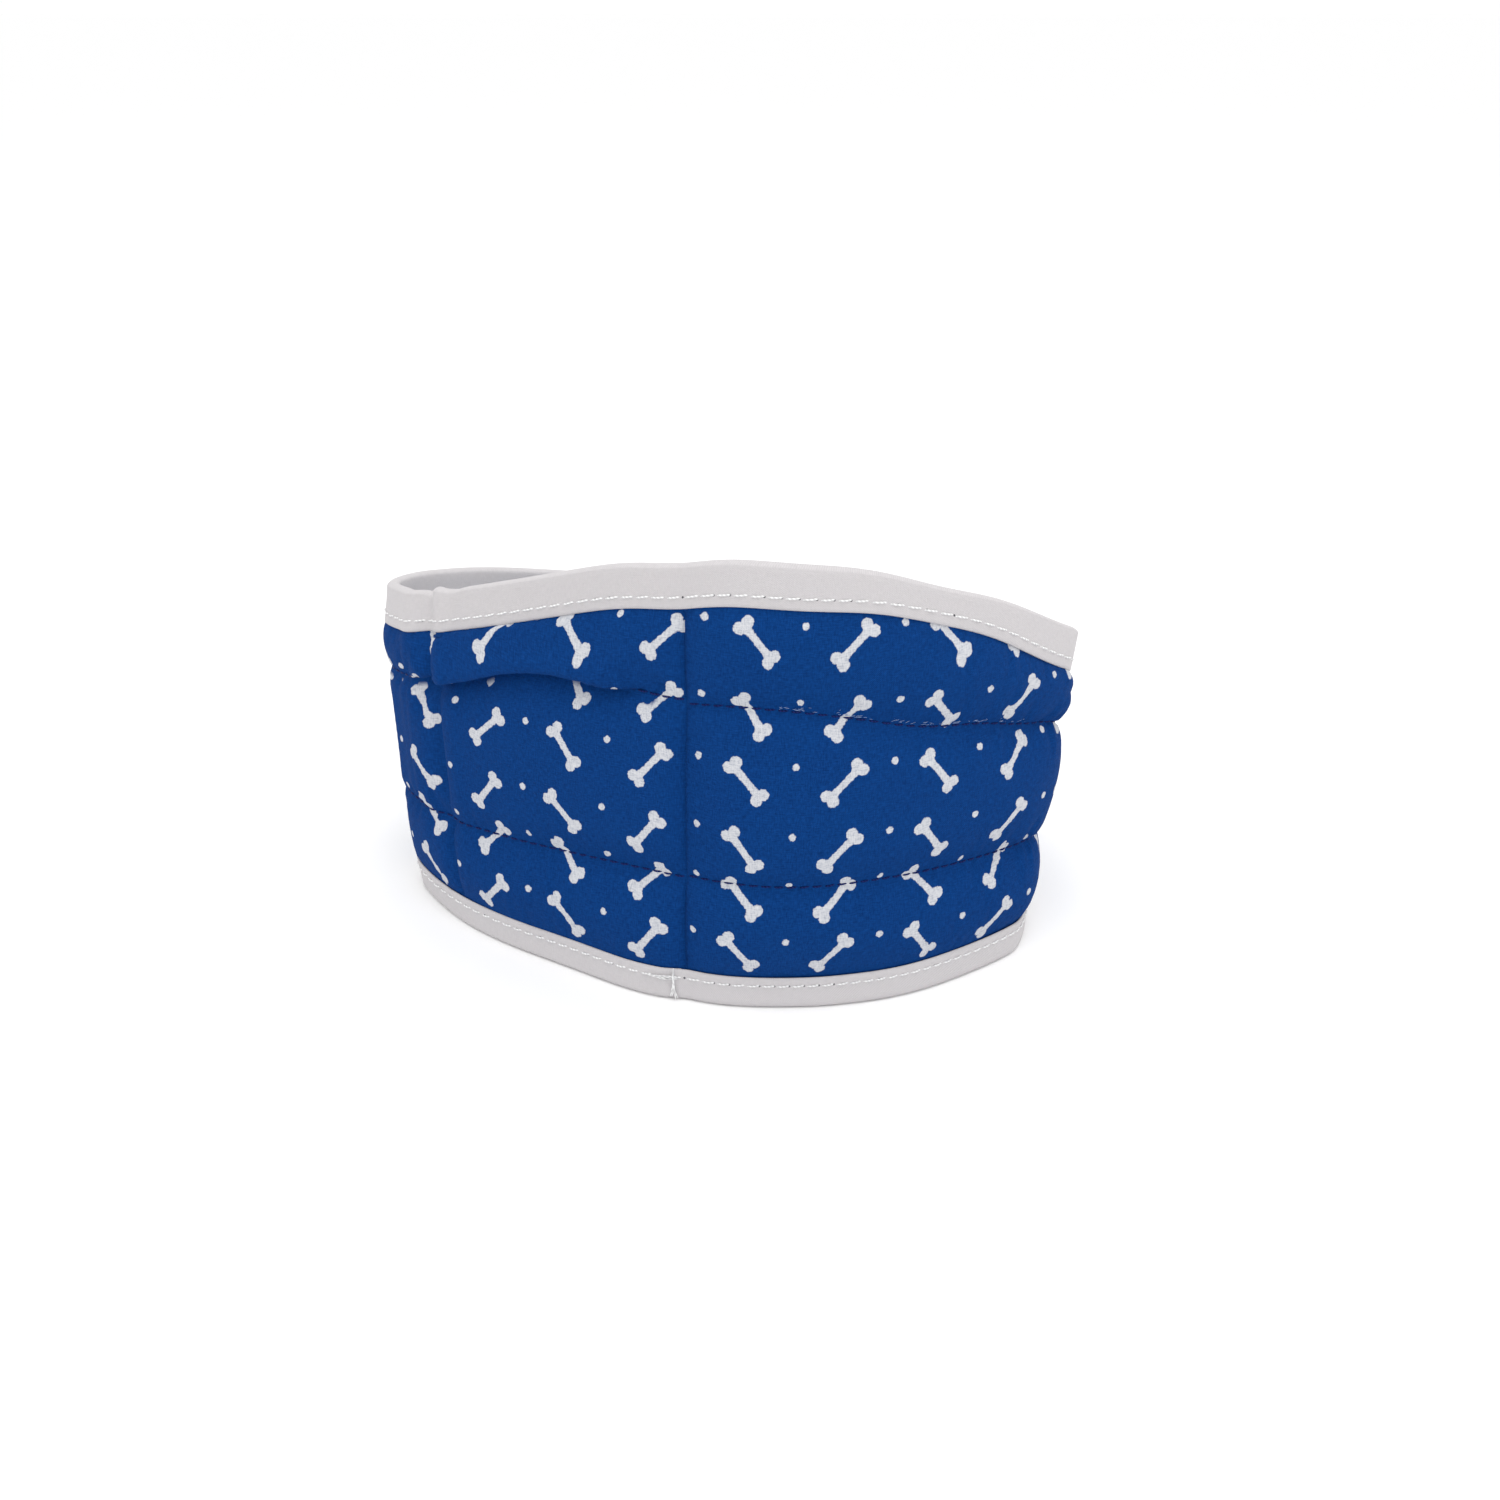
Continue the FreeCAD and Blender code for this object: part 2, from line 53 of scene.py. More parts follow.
# ---- the plan, as in the CAD source ----
UPPER_LEVEL = 112.0
LEVELS = (0.0, UPPER_LEVEL)
MID_LEVEL = 50.0
SEAM_POINT = {0.0: (-15.5, 5.4), UPPER_LEVEL: (-14.0, 16.6)}
RIGHT_HEADING = -31.0
LEFT_HEADING = 156.0
NOSE_LENGTH = {0.0: 39.9, UPPER_LEVEL: 40.2}
NOSE_TURN = 50.6
FLANK_LENGTH = {0.0: 42.5, UPPER_LEVEL: 48.3}
FLANK_TURN = 7.0
LEFT_BEND_CENTRE = {0.0: (-72.0, 65.7), UPPER_LEVEL: (-78.2, 82.0)}
LEFT_BEND_RADIUS = 16.0
RIGHT_BEND_CENTRE = {0.0: (55.0, 35.0), UPPER_LEVEL: (73.0, 63.0)}
RIGHT_BEND_RADIUS = 13.0
CLOSURE_CENTRE = np.array([-3.0, -70.0])
CLOSURE_RADIUS = 180.0
CLOSURE_HALF_ANGLE = 8.0
UNDERLAP_ANGLE = 14.4
FLAP_ANGLE = 13.4
ORIGIN = np.array([-6.441, 54.698])
BACK_HEIGHT = 66.0
FRONT_RISE = 42.0
RISE_CENTRE = 8.0
RISE_WIDTH = 34.4
SIDE_SLOPE = -0.065
ARCS = 5


def unit(degrees):
    return np.array([math.cos(math.radians(degrees)), math.sin(math.radians(degrees))])


def turning_arc(start, heading, length, turn):
    """(centre, radius, first angle, last angle) of an arc that leaves start along heading."""
    side = 1 if turn > 0 else -1
    radius = length / math.radians(abs(turn))
    a0 = heading - side * 90
    return start + unit(heading + side * 90) * radius, radius, a0, a0 + turn


def arc_onto_circle(start, heading, side, centre, radius):
    normal = unit(heading + side * 90)
    away = start - centre
    own_radius = (radius ** 2 - away @ away) / (2 * (normal @ away + radius))
    own_centre = start + normal * own_radius
    a0 = heading - side * 90
    towards = centre - own_centre
    angle = math.degrees(math.atan2(towards[1], towards[0]))
    return own_centre, own_radius, a0, a0 + (angle - a0) * side % 360 * side


def half_band(first, side, bend_centre, bend_radius, extra_angle):
    start = first[0] + unit(first[3]) * first[1]
    bend_centre = np.array(bend_centre)
    second = arc_onto_circle(start, first[3] + side * 90, side, bend_centre, bend_radius)
    closing = 90 - side * CLOSURE_HALF_ANGLE
    closing_point = CLOSURE_CENTRE + unit(closing) * CLOSURE_RADIUS
    back = arc_onto_circle(closing_point, closing - side * 90, -side, bend_centre, bend_radius)
    a0 = second[3]
    bend = (bend_centre, bend_radius, a0, a0 + (back[3] - a0) * side % 360 * side)
    end = (CLOSURE_CENTRE, CLOSURE_RADIUS, closing, closing + side * extra_angle)
    return [first, second, bend, (back[0], back[1], back[3], back[2]), end]


def half(side, level):
    start = np.array(SEAM_POINT[level])
    if side == "right":
        first = turning_arc(start, RIGHT_HEADING, NOSE_LENGTH[level], NOSE_TURN)
        return half_band(first, 1, RIGHT_BEND_CENTRE[level], RIGHT_BEND_RADIUS, UNDERLAP_ANGLE)
    first = turning_arc(start, LEFT_HEADING, FLANK_LENGTH[level], -FLANK_TURN)
    return half_band(first, -1, LEFT_BEND_CENTRE[level], LEFT_BEND_RADIUS, FLAP_ANGLE)


PLAN = {side: [half(side, level) for level in LEVELS] for side in ("right", "left")}


def lengths_to_places(side, height):
    arcs = [[abs(math.radians(a[3] - a[2])) * a[1] for a in arcs] for arcs in PLAN[side]]
    low, high = [np.concatenate([[0.0], np.cumsum(row)]) for row in arcs]
    return low + (high - low) * height / UPPER_LEVEL


PLACE_EDGES = np.arange(ARCS + 1)
MID_LENGTHS = {side: lengths_to_places(side, MID_LEVEL) for side in PLAN}
BAND_END = {side: MID_LENGTHS[side][4] for side in PLAN}
TAIL_END = {side: MID_LENGTHS[side][5] for side in PLAN}


def arc_points(side, level, place, offset):
    arcs = PLAN[side][level]
    index = np.clip(place.astype(int), 0, ARCS - 1)
    centre, radius, start, stop = [np.array(values)[index] for values in zip(*arcs)]
    angle = np.radians(start + (stop - start) * (place - index))
    return centre + np.stack([np.cos(angle), np.sin(angle)], -1) * (radius + offset)[..., None]


def places(s):
    """(side, sign, place along its arcs) of the right half, and then of the left one."""
    for side, sign in (("right", 1), ("left", -1)):
        yield side, sign, np.interp(np.maximum(s * sign, 0), MID_LENGTHS[side], PLACE_EDGES)


def plain_wall(s, height, offset):
    """Points of the leaning wall as the CAD has it."""
    halves = []
    for side, _, place in places(s):
        low, high = [arc_points(side, level, place, offset) for level in (0, 1)]
        halves.append(low + (high - low) * (height / UPPER_LEVEL)[..., None])
    xy = np.where((s >= 0)[..., None], *halves) - ORIGIN
    return np.concatenate([xy, height[..., None]], -1)


def cloth_length(s, height):
    """The length of cloth from the seam at that height, with the sign of s."""
    result = np.zeros(np.broadcast(s, height).shape)
    for side, sign, place in places(s):
        low, high = [np.interp(place, PLACE_EDGES, lengths_to_places(side, level)) for level in LEVELS]
        result = result + sign * (low + (high - low) * height / UPPER_LEVEL)
    return result


def smooth(x, start, stop):
    t = np.clip((x - start) / (stop - start), 0, 1)
    return t * t * (3 - 2 * t)


def hump(x, centre, width):
    return np.exp(-(((x - centre) / width) ** 2))


def humps(x, *parts):
    """The sum of humps that are given as (height, centre, width)."""
    return sum(height * hump(x, centre, width) for height, centre, width in parts)


def cad_top_height(s):
    height = np.full(s.shape, BACK_HEIGHT + FRONT_RISE / 2)
    for _ in range(20):
        point = plain_wall(s, height, 0.0 * s)
        x = point[..., 0] + ORIGIN[0]
        y = point[..., 1] + ORIGIN[1]
        height = BACK_HEIGHT + FRONT_RISE / (1 + ((y - RISE_CENTRE) / RISE_WIDTH) ** 2) + SIDE_SLOPE * x
    return height


TOP_AT = np.linspace(-TAIL_END["left"] - 5, TAIL_END["right"] + 5, 700)
TOP_SAG = humps(TOP_AT, (-1.3, -2, 11), (-2.0, 56, 14), (2.0, -128, 26))
TOP_HEIGHTS = cad_top_height(TOP_AT) + TOP_SAG


def top_height(s):
    return np.interp(s, TOP_AT, TOP_HEIGHTS)


def hang(s, height):
    """How the soft wall leaves the plan: it bellies at the left and tucks in at the foot."""
    below_top = top_height(s) - height
    belly = 2.7 * hump(s, -92, 30) * smooth(below_top, -2, 16) * smooth(height, -2, 22)
    foot = 1 - smooth(height, 4, 30)
    tuck = -3.7 * hump(s, 26, 22) + 1.8 * hump(s, -12, 17) * smooth(s, 2, -6)
    creases = humps(s, (0.9, -81.0, 3.8), (-1.3, -73.5, 3.2), (0.7, -66.5, 3.6))
    return belly + foot * tuck + creases * smooth(height, 12, 40)


KINK_REACH = 2.6
KINK_EDGE = 7.0              # the rounding starts this far from the front seam


def band(s, height, offset):
    """Points of the soft wall in the CAD frame, rounded where the two halves meet in front."""
    s, height, offset = [np.asarray(x, float) for x in np.broadcast_arrays(s, height, offset)]
    offset = offset + hang(s, height)
    if not np.any(np.abs(s) < KINK_EDGE):
        return plain_wall(s, height, offset)
    reach = KINK_REACH * smooth(np.abs(s), KINK_EDGE, 1.5)
    shares = ((-1.0, 0.125), (-0.5, 0.25), (0.0, 0.25), (0.5, 0.25), (1.0, 0.125))
    return sum(weight * plain_wall(s + step * reach, height, offset) for step, weight in shares)


# ---- shape functions along the band ----
TOP_BINDING = 9.8
BOTTOM_BINDING = 8.0


def top_binding(s):
    """How wide the top binding shows: less where it rolls over at the right."""
    return TOP_BINDING - 1.7 * hump(s, 58, 19)


TOP_STITCH_DROP = 7.2
BOTTOM_STITCH_RISE = 6.0
TAPE_PLY = 0.35
EDGE_MID = -0.8              # middle of the cloths inside the binding
EDGE_HALF = 1.0              # half their thickness, pressed flat
TAIL_HALF = 0.45
TAIL_SHIFT = -4.6            # the underlap lies this far inside the band's face
SEAM_OUTER = -1.1            # offsets where the quilting pulls the two cloths together
SEAM_INNER = -1.9
END_RUN = 13.0               # length over which the band thins out at its ends


def fullness(s):
    """How much padding there is: 1 in the band and 0 in the flap and the underlap."""
    right = smooth(s, BAND_END["right"] - 3, BAND_END["right"] - 3 - END_RUN)
    left = smooth(-s, BAND_END["left"] - 2, BAND_END["left"] - 2 - END_RUN)
    return np.where(s >= 0, right, left)


def edge_mid(s):
    return EDGE_MID + TAIL_SHIFT * smooth(s, BAND_END["right"] - END_RUN, BAND_END["right"])


def edge_half(s):
    right = smooth(s, BAND_END["right"] - END_RUN, BAND_END["right"])
    left = smooth(-s, BAND_END["left"] - END_RUN, BAND_END["left"])
    return EDGE_HALF + (TAIL_HALF - EDGE_HALF) * np.maximum(right, left)


def lower_seam(s):
    return 17.0 - 0.6 * (s < 0) + 0.142 * top_height(s)


def upper_seam(s):
    right = humps(s, (-2.7, 50, 22), (-0.5, 10, 12)) + 1.3 * smooth(s, 80, 100)
    left = 7.6 * hump(-s, 42, 26) + 3.0 * smooth(-s, 55, 78)
    return 0.70 * top_height(s) + np.where(s >= 0, right, left)


def ripple(s, height, seed):
    """Slow unevenness of handled cloth, between about -1 and 1."""
    waves = ((0.061, 0.043, 0.3), (0.113, -0.071, 1.9), (0.187, 0.117, 4.1), (0.041, 0.151, 2.6))
    return sum(np.sin(a * s + b * height + c * seed + c) for a, b, c in waves) / len(waves)


def top_crease(s):
    """Folds that the top binding takes where the band turns at the left."""
    return humps(s, (-0.6, -73.5, 3.0), (0.4, -79.0, 3.0), (0.6, -67.5, 3.2), (-0.6, -63.5, 2.4))


def tape_wave(s, height):
    return 0.22 * ripple(s, height, 1.0)


# ---- meshes ----
def make_mesh(name, points, faces, material):
    mesh = bpy.data.meshes.new(name)
    mesh.from_pydata((np.asarray(points).reshape(-1, 3) * MM).tolist(), [], faces)
    mesh.update()
    obj = bpy.data.objects.new(name, mesh)
    bpy.context.scene.collection.objects.link(obj)
    mesh.materials.append(material)
    mesh.shade_smooth()
    return obj


def grid_faces(rows, columns, flip=False, wrap=False, first=0):
    faces = []
    last = columns if wrap else columns - 1
    for i in range(rows - 1):
        for j in range(last):
            a = first + i * columns + j
            b = first + i * columns + (j + 1) % columns
            quad = (a, b, b + columns, a + columns)
            faces.append(quad[::-1] if flip else quad)
    return faces


def rim_pairs(rows, columns):
    """Neighbouring points round the rim of a grid, from the first corner along the first row."""
    index = np.arange(rows * columns).reshape(rows, columns)
    ring = [*index[0, :-1], *index[:-1, -1], *index[-1, :0:-1], *index[:0:-1, 0]]
    ring = [int(i) for i in ring]
    return list(zip(ring, ring[1:] + ring[:1]))


def set_uv(obj, name, mapped):
    """Give a mesh a map by its points; the map of one face of a cloth serves the other too."""
    values = np.asarray(mapped, np.float32).reshape(-1, 2)
    layer = obj.data.uv_layers.new(name=name)
    index = np.zeros(len(obj.data.loops), np.int64)
    obj.data.loops.foreach_get("vertex_index", index)
    layer.data.foreach_set("uv", values[index % len(values)].ravel())


def solid_grid(name, points, thickness, material):
    """A closed piece of cloth: a grid of points given thickness, with flat cut edges."""
    rows, columns = points.shape[:2]
    count = rows * columns
    normal = np.cross(np.gradient(points, axis=1), np.gradient(points, axis=0))
    normal = normal / np.maximum(np.linalg.norm(normal, axis=-1, keepdims=True), 1e-9)
    both = np.concatenate([points + normal * thickness / 2, points - normal * thickness / 2])
    faces = grid_faces(rows, columns) + grid_faces(rows, columns, flip=True, first=count)
    rim = rim_pairs(rows, columns)
    faces += [(b, a, a + count, b + count) for a, b in rim]
    obj = make_mesh(name, both, faces, material)
    cut = {tuple(sorted(pair)) for pair in rim}
    cut |= {(a + count, b + count) for a, b in cut}
    sharp = obj.data.attributes.new("sharp_edge", "BOOLEAN", "EDGE")
    sharp.data.foreach_set("value", [key in cut for key in obj.data.edge_keys])
    for polygon in obj.data.polygons[-len(rim):]:
        polygon.use_smooth = False
    return obj


# ---- bodies: the right half rides on the front band; the left half and the flap are only fixed in place ----
FLAP_MIDDLE = 40.0           # height of the middle of the flap
FLAP_FOLD_LENGTH = 9.0


def metres(*values):
    return tuple(float(value) * MM for value in values)


def on_right(obj):
    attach(obj, "front_band")


def on_left(obj):
    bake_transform(obj)


def on_flap(obj):
    start = metres(*band(-BAND_END["left"], FLAP_MIDDLE, 0.0))
    stop = metres(*band(-BAND_END["left"] - FLAP_FOLD_LENGTH, FLAP_MIDDLE, 0.0))
    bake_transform(obj)


# ---- materials: short calls for the nodes that they need ----
def new_node(tree, kind, **settings):
    made = tree.nodes.new(kind)
    for key, value in settings.items():
        setattr(made, key, value)
    return made


def is_socket(value):
    return isinstance(value, bpy.types.NodeSocket)


def put(socket, value):
    if is_socket(value):
        socket.id_data.links.new(value, socket)
    else:
        socket.default_value = value


def put_all(node, values):
    for name, value in values.items():
        put(node.inputs[name], value)


def fed(kind, *values, **settings):
    """A node whose first inputs are the values, in the tree of the first value that is a socket."""
    tree = next(value.id_data for value in values if is_socket(value))
    made = new_node(tree, kind, **settings)
    for socket, value in zip(made.inputs, values):
        put(socket, value)
    return made


def calc(operation, *values):
    return fed("ShaderNodeMath", *values, operation=operation).outputs[0]


def add(a, b):
    return calc("ADD", a, b)


def sub(a, b):
    return calc("SUBTRACT", a, b)


def mul(a, b):
    return calc("MULTIPLY", a, b)


def mul_add(a, b, c):
    return calc("MULTIPLY_ADD", a, b, c)


def radial(x, y):
    return calc("SQRT", add(mul(x, x), mul(y, y)))


def clamp01(value):
    return fed("ShaderNodeClamp", value).outputs[0]


def join(x, y, z=0.0):
    return fed("ShaderNodeCombineXYZ", x, y, z).outputs[0]


def noise(vector, scale, detail=2.0):
    made = fed("ShaderNodeTexNoise", vector)
    put_all(made, {"Scale": scale, "Detail": detail, "Roughness": 0.5})
    return made.outputs["Fac"]


def mix(factor, a, b):
    made = fed("ShaderNodeMix", factor, data_type="RGBA")
    colours = [socket for socket in made.inputs if socket.type == "RGBA"]
    for socket, value in zip(colours, (a, b)):
        put(socket, value if is_socket(value) else (*value, 1.0))
    return [socket for socket in made.outputs if socket.type == "RGBA"][0]


def new_material(name):
    material = bpy.data.materials.new(name)
    material.use_nodes = True
    return material


def flat_map(material, name="cloth"):
    """The two numbers of one of the mesh's own maps."""
    made = new_node(material.node_tree, "ShaderNodeUVMap", uv_map=name)
    return fed("ShaderNodeSeparateXYZ", made.outputs[0]).outputs[:2]


def surface(material, colour, roughness, relief, sheen=0.0, sheen_roughness=0.5, specular=0.12):
    """Complete a material; relief is (height, distance in millimetres, strength)."""
    height, distance, strength = relief
    bump = new_node(material.node_tree, "ShaderNodeBump")
    put_all(bump, {"Height": height, "Distance": distance * MM, "Strength": strength})
    put_all(material.node_tree.nodes["Principled BSDF"],
            {"Base Color": colour, "Roughness": roughness, "Normal": bump.outputs["Normal"],
             "Sheen Weight": sheen, "Sheen Roughness": sheen_roughness, "Specular IOR Level": specular})
    return material


COLUMN_PITCH = 23.2
ROW_PITCH = 14.8
BONE_TILT = 48.0
TILT_SPREAD = 0.08           # radians that a single bone may lean away from it
LOBE_ALONG = 4.8
LOBE_ACROSS = 1.06
LOBE_RADIUS = 1.36
SHAFT_HALF = 0.8
SHAFT_FLARE = 0.012
BONE_FILLET = 0.7
RAGGED = 0.35                # how far the print's edge wanders
DOT_RADIUS = 0.85
DOT_RISE = 4.0
THREAD_PITCH = 0.42          # of the printed cotton
LINING_PITCH = 0.38
TWILL_PITCH = 0.55
STITCH_PITCH = 3.7
HOLE_SHADE_RADIUS = 0.27


def plain_weave(x, y, pitch):
    """Height of a plain weave, between about 0 and 1, with x and y in millimetres."""
    across = calc("SINE", mul(x, 2 * math.pi / pitch))
    along = calc("SINE", mul(y, 2 * math.pi / pitch))
    return mul_add(mul(across, along), 0.5, 0.5)


def slubs(x, y):
    """Threads that are thicker in places, along and across."""
    fine, coarse = 3.4, 0.7
    along = noise(join(mul(x, coarse), mul(y, fine)), 1.0)
    across = noise(join(mul(x, fine), mul(y, coarse)), 1.0)
    return mul(add(along, across), 0.5)


def print_mask(x, y):
    """1 inside the printed bones and dots, from the print's own column and row numbers."""
    column = calc("ROUND", x)
    row = calc("ROUND", y)
    fx = mul(sub(x, column), COLUMN_PITCH)
    fy = mul(sub(y, row), ROW_PITCH)
    mirror = mul_add(calc("FLOORED_MODULO", column, 2.0), -2.0, 1.0)
    mirrored = mul(fx, mirror)
    own = fed("ShaderNodeTexWhiteNoise", join(column, row, 0.5)).outputs["Value"]
    tilt = mul_add(own, 2 * TILT_SPREAD, math.radians(BONE_TILT) - TILT_SPREAD)
    cosine = calc("COSINE", tilt)
    sine = calc("SINE", tilt)
    along = calc("ABSOLUTE", add(mul(mirrored, cosine), mul(fy, sine)))
    across = calc("ABSOLUTE", sub(mul(fy, cosine), mul(mirrored, sine)))
    lobe_x = sub(along, LOBE_ALONG)
    lobe = sub(radial(lobe_x, sub(across, LOBE_ACROSS)), LOBE_RADIUS)
    waist = mul_add(mul(along, along), SHAFT_FLARE, SHAFT_HALF)
    shaft = calc("MAXIMUM", sub(across, waist), lobe_x)
    bone = calc("SMOOTH_MIN", lobe, shaft, BONE_FILLET)
    dot_x = sub(calc("ABSOLUTE", fx), COLUMN_PITCH / 2)
    row_part = sub(y, DOT_RISE / ROW_PITCH)
    dot_y = mul(sub(row_part, calc("ROUND", row_part)), ROW_PITCH)
    dot = sub(radial(dot_x, dot_y), DOT_RADIUS)
    ragged = noise(join(mul(x, COLUMN_PITCH), mul(y, ROW_PITCH)), 1.4, 3.0)
    distance = mul_add(ragged, 2 * RAGGED, sub(calc("MINIMUM", bone, dot), RAGGED))
    return clamp01(mul_add(distance, -5.0, 0.5))


def printed_cotton():
    material = new_material("printed_cotton")
    x, y = flat_map(material)
    slub = slubs(x, y)
    tone = clamp01(mul_add(slub, 3.4, -1.2))
    blue = mix(tone, (0.0006, 0.023, 0.118), (0.0038, 0.050, 0.222))
    blue = mix(mul(noise(join(x, y), 0.09, 3.0), 0.30), blue, (0.003, 0.056, 0.235))
    white = mix(tone, (0.48, 0.50, 0.55), (0.66, 0.665, 0.69))
    mask = mul(print_mask(*flat_map(material, "print")), flat_map(material, "shown")[0])
    covered = mul(mask, clamp01(mul_add(slub, 1.2, 0.42)))
    height = add(mul(plain_weave(x, y, THREAD_PITCH), 0.45), slub)
    return surface(material, mix(covered, blue, white), mul_add(slub, 0.2, 0.72), (height, 0.16, 0.8),
                   sheen=0.005, sheen_roughness=0.4, specular=0.05)


def binding_tape():
    """Twill tape; y of its map is the distance from the line of stitches, with painted shade in dark
    spots where the needle holes are.
    """
    material = new_material("binding_tape")
    x, y = flat_map(material)
    twill = mul_add(calc("SINE", mul(add(x, mul(y, 1.3)), 2 * math.pi / TWILL_PITCH)), 0.5, 0.5)
    slub = slubs(x, y)
    tone = clamp01(add(mul(twill, 0.25), mul(slub, 0.75)))
    colour = mix(tone, (0.46, 0.440, 0.446), (0.71, 0.683, 0.690))
    colour = mix(mul(noise(join(x, y), 0.12, 3.0), 0.25), colour, (0.57, 0.565, 0.60))
    cell = calc("DIVIDE", x, STITCH_PITCH)
    number = calc("ROUND", cell)
    hole_x = mul(sub(cell, number), STITCH_PITCH)
    # painted shade: near-black spots on some needle holes stand for the shade inside them
    hole_shade_spot = calc("LESS_THAN", radial(hole_x, y), HOLE_SHADE_RADIUS)
    own = new_node(material.node_tree, "ShaderNodeTexWhiteNoise", noise_dimensions="1D")
    put(own.inputs["W"], number)
    painted_hole_shade = mul(hole_shade_spot, calc("GREATER_THAN", own.outputs["Value"], 0.5))
    colour = mix(painted_hole_shade, colour, (0.09, 0.09, 0.10))
    height = add(mul(twill, 0.5), slub)
    return surface(material, colour, mul_add(slub, 0.2, 0.62), (height, 0.14, 0.8),
                   sheen=0.10, sheen_roughness=0.4)


def lining_cloth():
    material = new_material("lining_cloth")
    x, y = flat_map(material)
    slub = slubs(x, y)
    colour = mix(slub, (0.66, 0.70, 0.76), (0.82, 0.85, 0.90))
    colour = mix(mul(noise(join(x, y), 0.1, 3.0), 0.3), colour, (0.70, 0.73, 0.81))
    height = add(mul(plain_weave(x, y, LINING_PITCH), 0.4), slub)
    return surface(material, colour, mul_add(slub, 0.2, 0.65), (height, 0.10, 0.7), sheen=0.08)


def fibres(name, dark, light, scale, depth, roughness):
    """Loose fibre, which needs no map of its own."""
    material = new_material(name)
    place = new_node(material.node_tree, "ShaderNodeTexCoord").outputs["Object"]
    fine = noise(place, scale, 3.0)
    broad = noise(place, scale * 0.12)
    colour = mix(clamp01(mul_add(fine, 1.6, -0.3)), dark, light)
    colour = mix(mul(broad, 0.3), colour, dark)
    return surface(material, colour, mul_add(broad, 0.2, roughness - 0.1), (fine, depth, 0.8))


def thread(name, dark, light):
    """Twisted sewing thread: y of its map runs round the thread, x along it."""
    material = new_material(name)
    x, y = flat_map(material)
    twist = add(mul(x, 7.0), mul(y, 2 * math.pi))
    ply = mul_add(calc("SINE", twist), 0.5, 0.5)
    relief = (ply, 0.05, 0.8)
    return surface(material, mix(ply, dark, light), mul_add(ply, 0.2, 0.45), relief, specular=0.08)


def pile_tape(name, dark, light, pitch, depth):
    """Hook or loop tape: rows of small bumps."""
    material = new_material(name)
    x, y = flat_map(material)
    wander = noise(join(x, y), 0.9)
    bumps = plain_weave(mul_add(wander, 0.5, x), mul_add(wander, 0.5, y), pitch)
    fuzz = noise(join(x, y), 3.0, 4.0)
    height = add(bumps, fuzz)
    colour = mix(clamp01(mul(height, 0.6)), dark, light)
    return surface(material, colour, mul_add(fuzz, 0.2, 0.7), (height, depth, 0.9), sheen=0.1)


COTTON = printed_cotton()
TAPE = binding_tape()
LINING = lining_cloth()
WHITE_THREAD = thread("white_thread", (0.66, 0.66, 0.66), (0.92, 0.92, 0.92))
BLUE_THREAD = thread("blue_thread", (0.004, 0.009, 0.06), (0.012, 0.022, 0.14))
PADDING = fibres("padding", (0.62, 0.62, 0.62), (0.85, 0.85, 0.85), 900.0, 0.4, 0.95)
HOOK = pile_tape("hook_tape", (0.012, 0.026, 0.095), (0.050, 0.095, 0.30), 1.1, 0.5)
LOOP = pile_tape("loop_tape", (0.014, 0.034, 0.110), (0.055, 0.115, 0.34), 0.9, 0.4)
LINT = fibres("lint", (0.14, 0.22, 0.44), (0.42, 0.50, 0.68), 2000.0, 0.1, 0.9)

# ---- print layout ----
# Heights are measured up the leaning wall from PRINT_ZERO. The rows are given from the lowest
# one, and above and below them the print goes on at ROW_PITCH.
PRINT_ZERO = 55.4
WALL_LEAN = 0.987            # height over length along the leaning wall
ROW_HEIGHTS = [-39.8, -25.7, -12.9, 3.7, 18.8, 34.5]
TRUE_REACH = 6.3             # the print isn't stretched this near to a row
FIRST_COLUMN = {"right": 15.2, "left": 8.5}   # cloth length from the front seam
SIDE_PITCH = {"right": 23.33, "left": 23.0}


def print_map(s, height, channel):
    """The print's own column and row numbers. Whole numbers are the middles of the bones."""
    w = height / WALL_LEAN - PRINT_ZERO
    u = np.abs(cloth_length(s, height))
    early = 1.1 * hump(u, 14, 16) * smooth(w, 14, 30)
    leant = u - (0.02 + 0.00125 * u) * w + (0.5 + 0.032 * (w + 40)) * smooth(u, 14, 35) - early
    right = (leant - FIRST_COLUMN["right"]) / SIDE_PITCH["right"] + 1
    rise = 0.5 * (w + 13 + np.sqrt((w + 13) ** 2 + 36))
    leant = u + 0.085 * rise - 1.4 * hump(w, -5, 30) + 0.8 * hump(u, 52, 26)
    column = np.where(s >= 0, right, -(leant - FIRST_COLUMN["left"]) / SIDE_PITCH["left"])
    droop = (u / 80) ** 2 * np.where(s >= 0, 2.7 + 0.05 * (w + 40), 2.0)
    slid = np.where((s < 0) & (channel == 2), 0.17 * smooth(u, 5, 30) * np.clip(u - 9, 0, 66), 0.0)
    slid = slid * smooth(u, 140, 95)
    slid = slid - np.where(s >= 0, 1.8 * smooth(w, 24, 32), 0.0)
    raised = np.where(s >= 0, 0.3 + 0.9 * smooth(u, 15, 95), 0.6 * hump(u, 65, 30)) * smooth(u, 180, 140)
    level = w + droop * smooth(200 - u, 60, 100) + slid - raised
    steps = (-TRUE_REACH, TRUE_REACH)
    known = [middle + step for middle in ROW_HEIGHTS for step in steps]
    rows = [number + step / ROW_PITCH for number in range(len(ROW_HEIGHTS)) for step in steps]
    known = [known[0] - 3 * ROW_PITCH, *known, known[-1] + 3 * ROW_PITCH]
    row = np.interp(level, known, [rows[0] - 3, *rows, rows[-1] + 3])
    return np.stack([column, row], -1)


# ---- cover panels and linings: sheets sewn down along the seams and under the bindings ----
GRID = 1.35                  # length of the sheets' faces along the band
COVER_PLY = 0.45
SEAM_TURN = 1.4              # the panels turn in this far at the front seam
SEAM_PRESSED = 0.2           # and this far where the padding is sewn down
HIDDEN = 4.0                 # cloth that runs on under the bindings
ROW_COUNTS = (3, 15, 27, 15, 4)  # under the lower binding, in the three channels, under the upper


